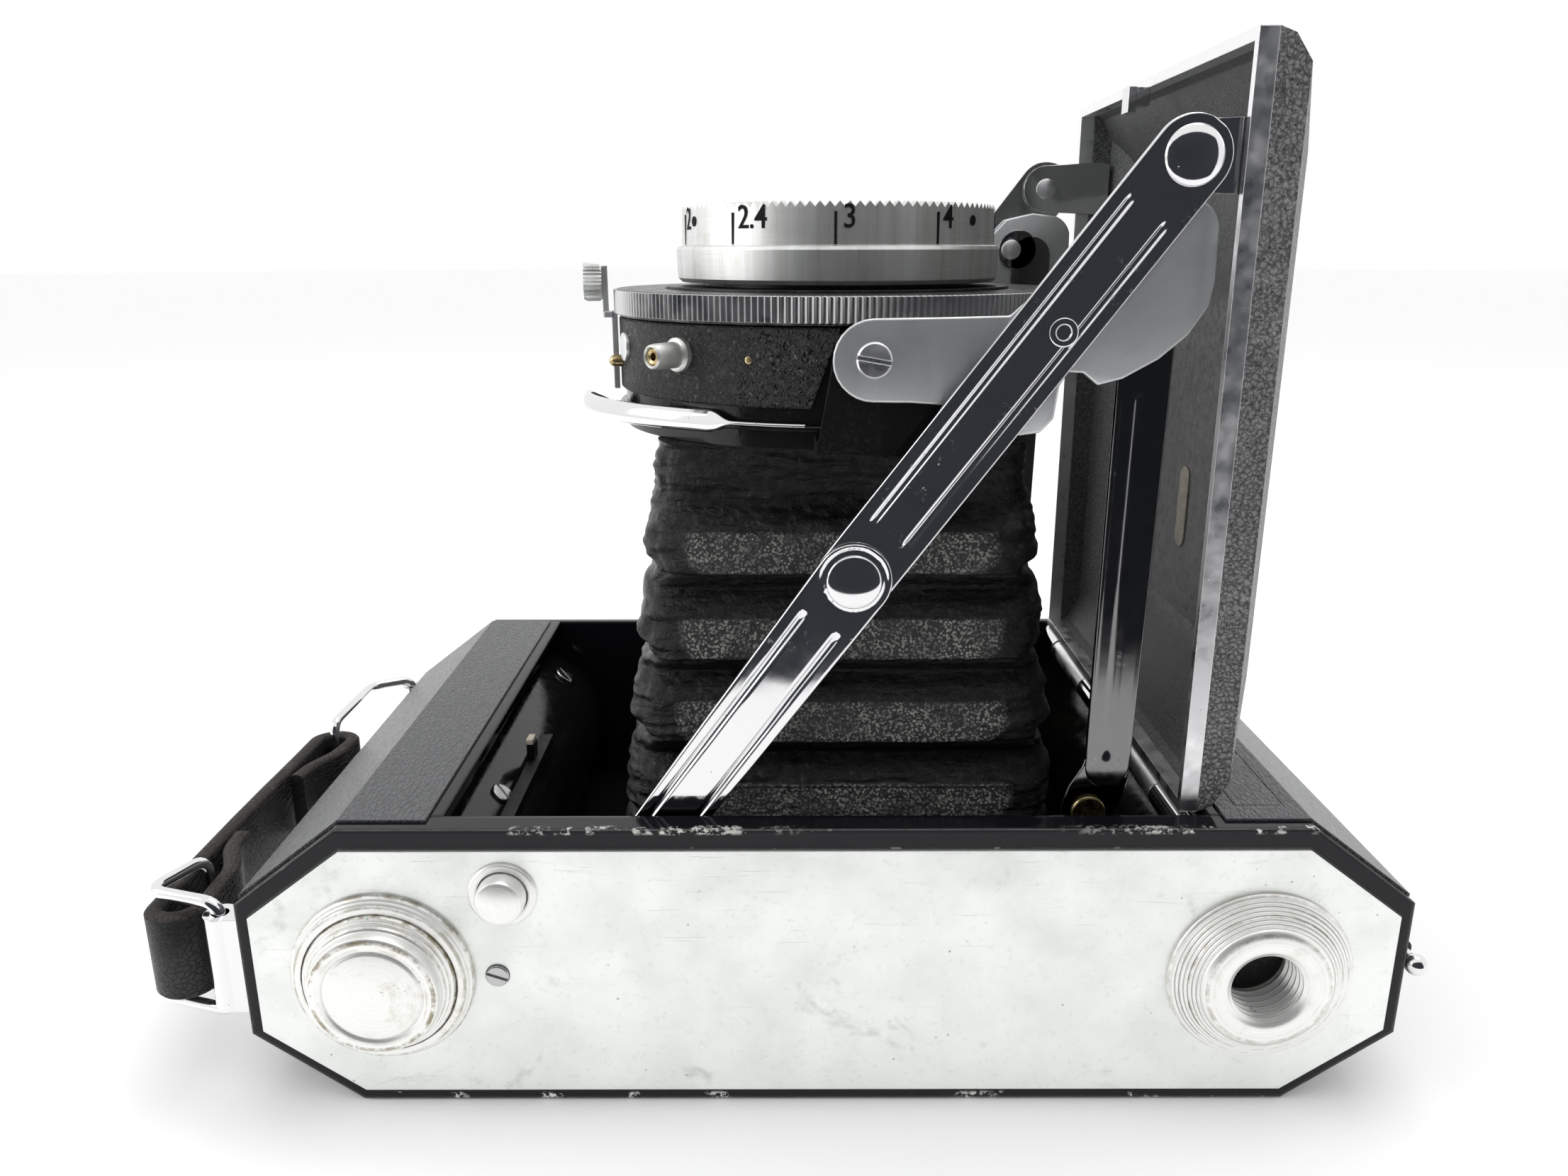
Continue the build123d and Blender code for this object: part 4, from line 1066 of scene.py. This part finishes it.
def build_shutter_fittings():
    """Flash socket, stop pins, levers and the cocking knob round the housing."""
    at, out = outward(228.0, HOUSING_R, 86.6)
    profile = [(0.0, -0.2), (1.95, -0.2), (1.95, 0.5), (1.75, 0.7), (1.5, 0.75), (1.45, 3.5), (1.35, 4.2),
               (1.15, 4.35), (1.0, 4.2), (0.95, 2.2), (0.0, 2.2)]
    piece("flash_socket_shell", spin(profile, at, out, 48), "brushed_aluminium", "standard",
          ["flash_socket"])
    piece("flash_socket_contact", spin([(0.45, 2.1), (0.98, 2.1), (0.98, 4.0), (0.8, 4.15), (0.45, 4.0)],
                                       at, out, 36), "brass", "standard")
    for name, angle, rise, radius, height, finish in (
            ("housing_cap", 200.0, 86.6, 1.75, 0.5, "satin_nickel"),
            ("stop_pin", 193.0, 84.6, 0.75, 1.6, "brass"),
            ("depth_dot", 247.5, 86.4, 0.42, 0.12, "brass")):
        at, out = outward(angle, HOUSING_R, rise)
        piece(name, spin(dome_profile(radius, height, height * 0.5), at, out, 36), finish, "standard")
    build_cocking_lever()
    build_aperture_lever()


def build_cocking_lever():
    """A flat post bent up the side of the case, with a knurled disc at its top."""
    lever = band(HOUSING_R + 0.25, HOUSING_R + 0.95, 81.0, 90.6, 185, 190.5, soft=0.12, steps=10)
    top = band(HOUSING_R + 0.75, HOUSING_R + 1.9, 89.9, 90.6, 185, 190.5, soft=0.12, steps=10)
    riser = band(HOUSING_R + 1.3, HOUSING_R + 2.0, 89.9, 96.2, 185.4, 190.1, soft=0.12, steps=10)
    piece("cocking_post", merge(lever, top, riser), "satin_nickel", "cocking",
          ["cocking_lever"])
    at, out = outward(187.7, HOUSING_R + 2.0, 94.3)

    def tooth(i, radius):
        return -0.22 * (i % 2) if radius > 2.3 else 0.0

    profile = [(0.0, 0.0), (2.2, 0.0), (2.42, 0.3), (2.42, 1.9), (2.2, 2.3), (1.1, 2.35), (0.85, 2.1),
               (0.8, 1.2), (0.0, 1.2)]
    piece("cocking_knob", spin(profile, at, out, 60, tooth), "brushed_aluminium", "cocking",
          sharp=25)


def build_aperture_lever():
    """The bright lever under the case: a broad rounded tab that narrows into a flat strip."""
    rings = []
    steps = 72
    for i in range(steps + 1):
        t = i / steps
        angle = radians(183 + 78 * t)
        tip = sqrt(min(1.0, (t + 0.004) / 0.06))
        tab = 1 - smooth_step(t, 0.7, 0.78)
        swell = 1 - smooth_step(t, 0.05, 0.74)
        outer = HOUSING_R + 1.0 + 4.1 * swell * tip
        inner = outer - (0.45 + 0.7 * tab * tip)
        low = BASE_Z[1] + 0.5 - 1.1 * tab
        tall = 0.4 + 2.1 * tab * tip
        ring = []
        for u, v in ((0, 0), (0.7, 0.0), (0.95, 0.08), (1.0, 0.3), (0.92, 0.7), (0.6, 0.96), (0.3, 1.0),
                     (0, 0.9)):
            radius = inner + (outer - inner) * u
            ring.append((LENS[0] + radius * cos(angle), LENS[1] + radius * sin(angle), low + tall * v))
        rings.append(ring)
    piece("aperture_tab", skin(rings), "chrome", "aperture", ["aperture_lever"], sharp=60)


# Bellows.

def bellows_half(z):
    """Half the bellows' mean width at a height."""
    t = (z - GATE_TOP) / (BASE_Z[0] - GATE_TOP)
    return 28.4 + (22.0 - 28.4) * t


def fold_phase(z):
    """Where a height lies in its fold: 0 at the top of a stiff panel, 1 at the top of the next."""
    return ((TOP_PANEL - z) / FOLD_PITCH) % 1.0


def panel_face(z):
    """How far the near and far sides stand out: a flat panel, then a deep crease under it."""
    top_valley = TOP_PANEL + (1 - VALLEY_AT) * FOLD_PITCH
    if z > top_valley:
        return -1.9 + 3.1 * smooth_step(z, top_valley - 1.0, BASE_Z[0] + 1.0)
    p = fold_phase(z)
    if p < PANEL_SHARE:
        return 0.75 + 0.5 * smooth_step(p, 0.0, 0.4) - 0.7 * smooth_step(p, 0.46, PANEL_SHARE)
    if p < VALLEY_AT:
        return 0.55 - 2.45 * smooth_step(p, PANEL_SHARE, VALLEY_AT + 0.02)
    return -1.9 + 2.65 * smooth_step(p, VALLEY_AT - 0.03, 1.0)


def side_face(z):
    """How far the left and right sides stand out: broad rounded scallops with narrow pinches."""
    away = abs(fold_phase(z) - 0.47)
    away = min(away, 1 - away)
    return 0.7 - 2.0 * exp(-(away / 0.13) ** 2)


def build_bellows():
    """Pleated leather: stiff panels and creases in front, scalloped round corners at the sides."""
    low, high = GATE_TOP + 0.05, BASE_Z[0] - 0.05
    rows, per_side = 330, 48
    rings, panel = [], []
    for row in range(rows + 1):
        t = row / rows
        z = low + (high - low) * t
        calm = smooth_step(t, 0.0, 0.03)
        mean = bellows_half(z)
        flat_wave, side_wave = panel_face(z) * calm, side_face(z) * calm
        if z > TOP_PANEL:
            side_wave *= 1 - smooth_step(z, TOP_PANEL + 2.0, TOP_PANEL + 6.0)
        near_far, left_right = mean + flat_wave, mean + side_wave
        corner = 5.2 + 0.8 * side_wave
        phase = fold_phase(z)
        on_panel = smooth_step(phase, 0.0, 0.02) * (1 - smooth_step(phase, 0.45, PANEL_SHARE))
        if z > TOP_PANEL:
            on_panel = 0.0
        ring = []
        for side in range(4):
            half_out = near_far if side % 2 == 0 else left_right
            half_along = left_right if side % 2 == 0 else near_far
            for k in range(per_side):
                s = -1 + 2 * k / per_side
                along = s * half_along
                out = half_out
                over = abs(along) - (half_along - corner)
                if over > 0:
                    turn = over / corner
                    out -= corner * (1 - sqrt(max(0.0, 1 - turn * turn * 0.5)))
                    along = copysign(half_along - corner + corner * (turn - 0.29 * turn ** 3), along)
                flat = 1 - smooth_step(abs(s), 0.74, 0.78)
                if side % 2 == 0:
                    out += 0.28 * on_panel * flat
                at = Matrix.Rotation(radians(90 * side), 2) @ Vector((along, -out))
                soft = 1 - 0.75 * on_panel * flat
                crumple = noise.noise(Vector((at.x * 0.14, at.y * 0.14, z * 0.45 + side * 9)))
                fine = noise.noise(Vector((at.x * 0.4, at.y * 0.4, z * 1.3 + 40)))
                push = 1 + (0.5 * crumple + 0.3 * fine) * soft / mean * calm
                ring.append((LENS[0] + at.x * push, LENS[1] + at.y * push, z))
                panel.append(flat * on_panel if side % 2 == 0 else 0.0)
        rings.append(ring)
    count = len(rings[0])
    inner_rings = []
    for z in (high, (low + high) / 2, low):
        half = bellows_half(z) - 4.2
        square = []
        for side in range(4):
            for k in range(per_side):
                s = -1 + 2 * k / per_side
                turn = Matrix.Rotation(radians(90 * side), 2) @ Vector((s * half, -half))
                square.append((LENS[0] + turn.x, LENS[1] + turn.y, z))
        inner_rings.append(square)
    verts, faces = skin(rings + inner_rings, loop=True)
    panel += [0.0] * (len(inner_rings) * count)
    mesh_values = {tuple(round(c * MM, 7) for c in v): p for v, p in zip(verts, panel)}
    obj = piece("bellows_pleated", (verts, faces), "bellows_leather", "chassis",
                ["bellows"], sharp=75)
    attribute = obj.data.attributes.new("panel", "FLOAT", "POINT")
    for vertex, item in zip(obj.data.vertices, attribute.data):
        item.value = mesh_values.get(tuple(round(c, 7) for c in vertex.co), 0.0)
    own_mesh(obj)


# Strap.

def build_strap():
    """Carrying strap: folded round both wire loops, with a stitched end and raw brown edges."""
    centre, x_out, x_in = -76.4, -79.2, -73.9
    low, high = 12.8, 24.0
    near, far = -33.4, 16.0
    path = [(-77.0, -15.5), (-76.6, -19.5), (x_in - 0.2, -24.5), (x_in, -30.0)]
    path += arc(centre, near, 2.75, 0, -180, 14)[1:]
    path += [(x_out - 0.1, -28.0), (x_out - 0.2, -20.0), (x_out - 0.25, -10.0), (x_out - 0.15, 0.0),
             (x_out, 8.0)]
    path += arc(centre, far, 2.75, 180, 0, 14)
    path += [(x_in - 0.3, 11.0), (-76.4, 6.6), (-77.0, 2.5)]
    fine = rounded([(x, y, (low + high) / 2) for x, y in path], 1.6, 4)
    tall = (high - low) / 2
    thick = 1.05

    def section(t):
        wide = tall * (0.93 + 0.07 * sin(t * 5.0 + 0.6))
        top = [(thick * cos(a), wide - 0.5 + 0.5 * sin(a)) for a in
               (radians(d) for d in (0, 40, 75, 105, 140, 180))]
        base = [(thick * cos(a), -wide + 0.5 + 0.5 * sin(a)) for a in
                (radians(d) for d in (180, 220, 255, 285, 320, 360))]
        return top + base

    strap = piece("strap_band", sweep(fine, section), "strap_leather", "chassis",
                  ["carry_strap"], sharp=60)
    strap.data.materials.append(FINISH["strap_edge"])
    for polygon in strap.data.polygons:
        if abs(polygon.normal.z) > 0.55:
            polygon.material_index = 1
    stitches = []
    for end in (-17.0, 4.0):
        for row in (-1, 1):
            for k in range(5):
                y = end + (k - 2) * 1.6
                at = Vector((x_out - 1.32, y, (low + high) / 2 + row * 3.9))
                stitches.append(spin([(0.0, -0.55), (0.2, -0.35), (0.24, 0.0), (0.2, 0.35), (0.0, 0.55)],
                                     at, (0, 1, 0), 8))
    piece("strap_stitches", merge(*stitches), "number_ink", "chassis")


def build_strap_wires():
    """The two bent chrome wires that hang in the lugs and carry the strap."""
    low, high = 11.2, 25.6
    loops = []
    for lug_y, elbow, bar in ((-36.6, (-79.6, -33.6), (-76.4, -26.0)), (36.6, (-76.0, 33.0), (-76.4, 16.6))):
        flat = [(-69.9, lug_y), elbow, bar]
        points = [Vector((x, y, high)) for x, y in flat]
        points += [Vector((x, y, low)) for x, y in reversed(flat)]
        loops.append(wire_loop(points, 0.75, 2.2))
    piece("strap_wires", merge(*loops), "chrome", "chassis", ["strap_rings"])


# Bottom fittings.

def build_film_knob():
    """The spool pin's collar and its stepped, lipped knob."""
    profile = [(8.95, -0.1), (10.6, -0.1), (10.6, 0.5), (10.4, 0.75)]
    profile += [(10.15, 0.8), (10.1, 1.15), (9.85, 1.2), (9.8, 1.55), (9.5, 1.6), (8.95, 1.55)]
    piece("film_knob_collar", on_plate(profile, FILM_KNOB_X, SPOOL_Z, 120), "film_knob_metal", "chassis")
    profile = [(0.0, 0.3), (8.8, 0.3), (8.85, 1.5), (8.65, 1.9), (8.3, 1.95), (8.25, 2.3), (7.95, 2.35),
               (7.85, 2.7), (7.6, 2.8), (7.5, 3.7), (7.35, 4.05), (7.0, 4.2), (6.1, 4.22), (5.85, 4.1),
               (5.7, 3.95), (5.55, 4.1), (5.2, 4.2), (0.0, 4.25)]
    piece("film_knob_turned", on_plate(profile, FILM_KNOB_X, SPOOL_Z, 120), "film_knob_metal", "film_key",
          ["film_knob"])


def build_tripod_socket():
    """Stepped round boss with ring grooves and a threaded bore."""
    profile = [(4.1, -4.2), (10.6, -0.3), (10.7, 0.4), (10.5, 0.7)]
    radius, rise = 10.4, 0.75
    for k in range(7):
        profile += [(radius, rise), (radius - 0.05, rise + 0.26), (radius - 0.33, rise + 0.3),
                    (radius - 0.36, rise + 0.14)]
        radius -= 0.4
        rise += 0.27
    profile += [(7.55, 2.75), (7.2, 3.05), (6.6, 3.2), (5.2, 3.2), (4.75, 3.1), (4.5, 2.85)]
    pitch = 1.0
    for k in range(6):
        top = 2.6 - k * pitch
        profile += [(4.1, top), (4.1, top - 0.15), (4.62, top - 0.5), (4.62, top - 0.6)]
    piece("tripod_boss", on_plate(profile, TRIPOD_X, SPOOL_Z, 120), "tripod_metal", "chassis",
          ["tripod_socket"])
    piece("tripod_bore_end", on_plate([(0.0, -3.9), (4.7, -3.9), (4.7, -3.5), (0.0, -3.5)], TRIPOD_X,
                                      SPOOL_Z, 60), "matte_black_paint", "chassis")


def build_door_button():
    x, z = BUTTON
    profile = [(2.85, -0.1), (3.9, -0.1), (3.9, 0.35), (3.7, 0.5), (3.1, 0.5), (2.9, 0.3)]
    piece("button_collar", on_plate(profile, x, z, 72), "button_metal", "chassis",
          ["bottom_collars"])
    profile = [(0.0, 0.0), (2.78, 0.0), (2.78, 1.9), (2.6, 2.3), (2.2, 2.5), (0.0, 2.6)]
    piece("button_head", on_plate(profile, x, z, 72), "button_metal", "door_release",
          ["door_button"])


# Door inside.

def slotted_screw(name, at, axis, radius, height, slot_turn, finish, body):
    """A cheese-head screw with a cut slot, made as two half heads over a web."""
    up = Vector(axis).normalized()
    side = up.orthogonal().normalized()
    side = Matrix.Rotation(radians(slot_turn), 3, up) @ side
    across = up.cross(side)
    gap = radius * 0.13
    limit = acos(gap / radius)
    parts = []
    for sign in (-1, 1):
        edge = []
        for k in range(19):
            turn = -limit + 2 * limit * k / 18
            edge.append((sign * radius * cos(turn), radius * sin(turn)))
        rings = []
        for shrink, rise in ((1.0, 0.0), (1.0, height * 0.7), (0.9, height)):
            rings.append([tuple(Vector(at) + side * (sign * gap + (u - sign * gap) * shrink)
                                + across * v * shrink + up * rise) for u, v in edge])
        parts.append(skin(rings))
    verts, faces = spin([(0.0, -0.2), (radius * 0.98, -0.2), (radius * 0.98, height * 0.35),
                         (0.0, height * 0.35)], at, axis, 40)
    return piece(name, merge((verts, faces), *parts), finish, body)


def build_details():
    """Screws, patch and spring that show inside the door and the well."""
    pan_x = node_box("door_pan")[1][0] - 0.82
    outline = arc(1.6, 68.0, 1.6, 0, 180, 8) + arc(1.6, 60.0, 1.6, 180, 360, 8)
    rings = [[(x, y, z) for y, z in outline] for x in (pan_x - 0.02, pan_x - 0.25)]
    piece("door_patch", skin(rings), "beige_patch", "door", bevel=0.08)
    for side in (-1, 1):
        y = sheet_y((BRACKET_SHEET[1] + 0.1, 0), side)[0]
        slotted_screw(f"bracket_screw_{'near' if side < 0 else 'far'}",
                      (PIVOT_STANDARD[0], y, PIVOT_STANDARD[1]), (0, side, 0), 1.9, 0.6, 35, "lit_rim_chrome",
                      "standard")
    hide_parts("bracket_screws")
    head = [(0.0, -0.2), (1.5, -0.2), (1.5, 0.04), (1.3, 0.14), (0.0, 0.17)]
    for side, word in ((-1, "near"), (1, "far")):
        for kind, sheet, (x, z), body in (("door", EAR_SHEET, PIVOT_DOOR, "door"),
                                          ("arm", ARM_SHEET, PIVOT_ARM_TOP, "side_arms")):
            piece(f"{kind}_rivet_end_{word}", spin(head, (x, sheet_y(sheet, side)[0], z), (0, -side, 0),
                                                   32), "lit_rim_chrome", body)
    tip = [(-39.7, -5.3), (-40.7, -5.3), (-40.7, -3.1), (-39.7, -3.1)]
    piece("door_catch_tip", skin([[(x, y, z) for x, y in tip] for z in (31.55, 32.35)]), "beige_patch",
          "door_release", bevel=0.15)
    slotted_screw("door_spring_screw", (pan_x, 6.6, 41.5), (-1, 0, 0), 1.7, 0.5, 60, "steel", "door")
    piece("door_spring_washer", spin([(2.1, -0.05), (2.9, -0.05), (2.9, 0.25), (2.5, 0.38), (2.1, 0.25)],
                                     (pan_x, 6.6, 41.5), (-1, 0, 0), 40), "dark_steel", "door")
    lean = radians(52.0)
    out = Vector((cos(lean), 0, sin(lean)))
    for word, y in (("near", -14.8), ("far", 30.0)):
        at = Vector((-50.6, y, SPOOL_Z)) + out * 14.0
        slotted_screw(f"well_screw_{word}", at, out, 1.7, 0.45, 20.0, "steel", "chassis")
    slotted_screw("bottom_screw_left", (-37.7, PLATE_Y - 0.02, SPOOL_Z), (0, -1, 0), 1.35, 0.35, 25.0,
                  "steel", "chassis")
    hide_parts("bottom_screws")


# Studio.

def area_light(name, at, target, size, power):
    data = bpy.data.lights.new(name, "AREA")
    data.shape = "RECTANGLE"
    data.size, data.size_y = size
    data.energy = power
    lamp = bpy.data.objects.new(name, data)
    lamp.location = at
    lamp.rotation_euler = (Vector(target) - Vector(at)).to_track_quat("-Z", "Y").to_euler()
    add(lamp)


def dark_card(name, at, size, facing):
    """A black board beside the camera that only reflections see, as the dark end of a studio."""
    half_w, half_h = size[0] / 2, size[1] / 2
    mesh = bpy.data.meshes.new(name)
    mesh.from_pydata([(-half_w, -half_h, 0), (half_w, -half_h, 0), (half_w, half_h, 0), (-half_w, half_h, 0)],
                     [], [(0, 1, 2, 3)])
    f = Finish(name, (0.012, 0.012, 0.014), 0.9)
    f.tint(f.noise(80.0, 2), (0.02, 0.023, 0.03), (0.006, 0.008, 0.013))
    mesh.materials.append(f.done())
    card = bpy.data.objects.new(name, mesh)
    card.location = at
    card.rotation_euler = Vector(facing).to_track_quat("Z", "Y").to_euler()
    card.visible_camera = False
    card.visible_diffuse = False
    card.visible_shadow = False
    add(card)


def build_studio():
    """Pale floor, white surroundings and soft lights, with the camera at the object's front."""
    f = Finish("studio_floor", grey(0.9), 0.6)
    f.tint(f.noise(60.0, 2), (0.955, 0.955, 0.96), grey(0.97))
    size, corner = 6.0, 24
    mesh = bpy.data.meshes.new("studio_floor")
    ring = [(size * cos(tau * k / corner), size * sin(tau * k / corner), 0.0)
            for k in range(corner)]
    mesh.from_pydata(ring, [], [tuple(range(corner))])
    floor = bpy.data.objects.new("studio_floor", mesh)
    mesh.materials.append(f.done())
    add(floor)

    world = bpy.data.worlds.new("studio")
    world.use_nodes = True
    world.node_tree.nodes["Background"].inputs["Color"].default_value = (1.0, 1.0, 1.0, 1)
    world.node_tree.nodes["Background"].inputs["Strength"].default_value = 1.0
    bpy.context.scene.world = world

    area_light("overhead", (0.1, 0.15, 0.7), (0, 0, 0.03), (0.5, 0.3), 1.3)
    area_light("left_window", (-0.6, -0.1, 0.3), (0, 0, 0.05), (0.25, 0.4), 1.1)
    dark_card("card_front", (0.0, -0.17, 0.105), (0.42, 0.21), (0, -1, 0))

    data = bpy.data.cameras.new("camera")
    data.lens = 26.68
    data.sensor_width = 36.0
    data.clip_start = 0.005
    camera = bpy.data.objects.new("camera", data)
    camera.location = Vector((-4.44, -155.32, 98.23)) * MM
    camera.rotation_euler = Euler((radians(73.72), radians(0.1), 0.0))
    add(camera)
    bpy.context.scene.camera = camera
    bpy.context.scene.view_settings.view_transform = "Standard"


build_studio()
dress_nodes()
build_struts()
build_brackets()
build_speed_ring()
build_focus_ring()
build_scale()
build_housing()
build_shutter_fittings()
build_bellows()
build_strap()
build_strap_wires()
build_film_knob()
build_tripod_socket()
build_door_button()
build_details()
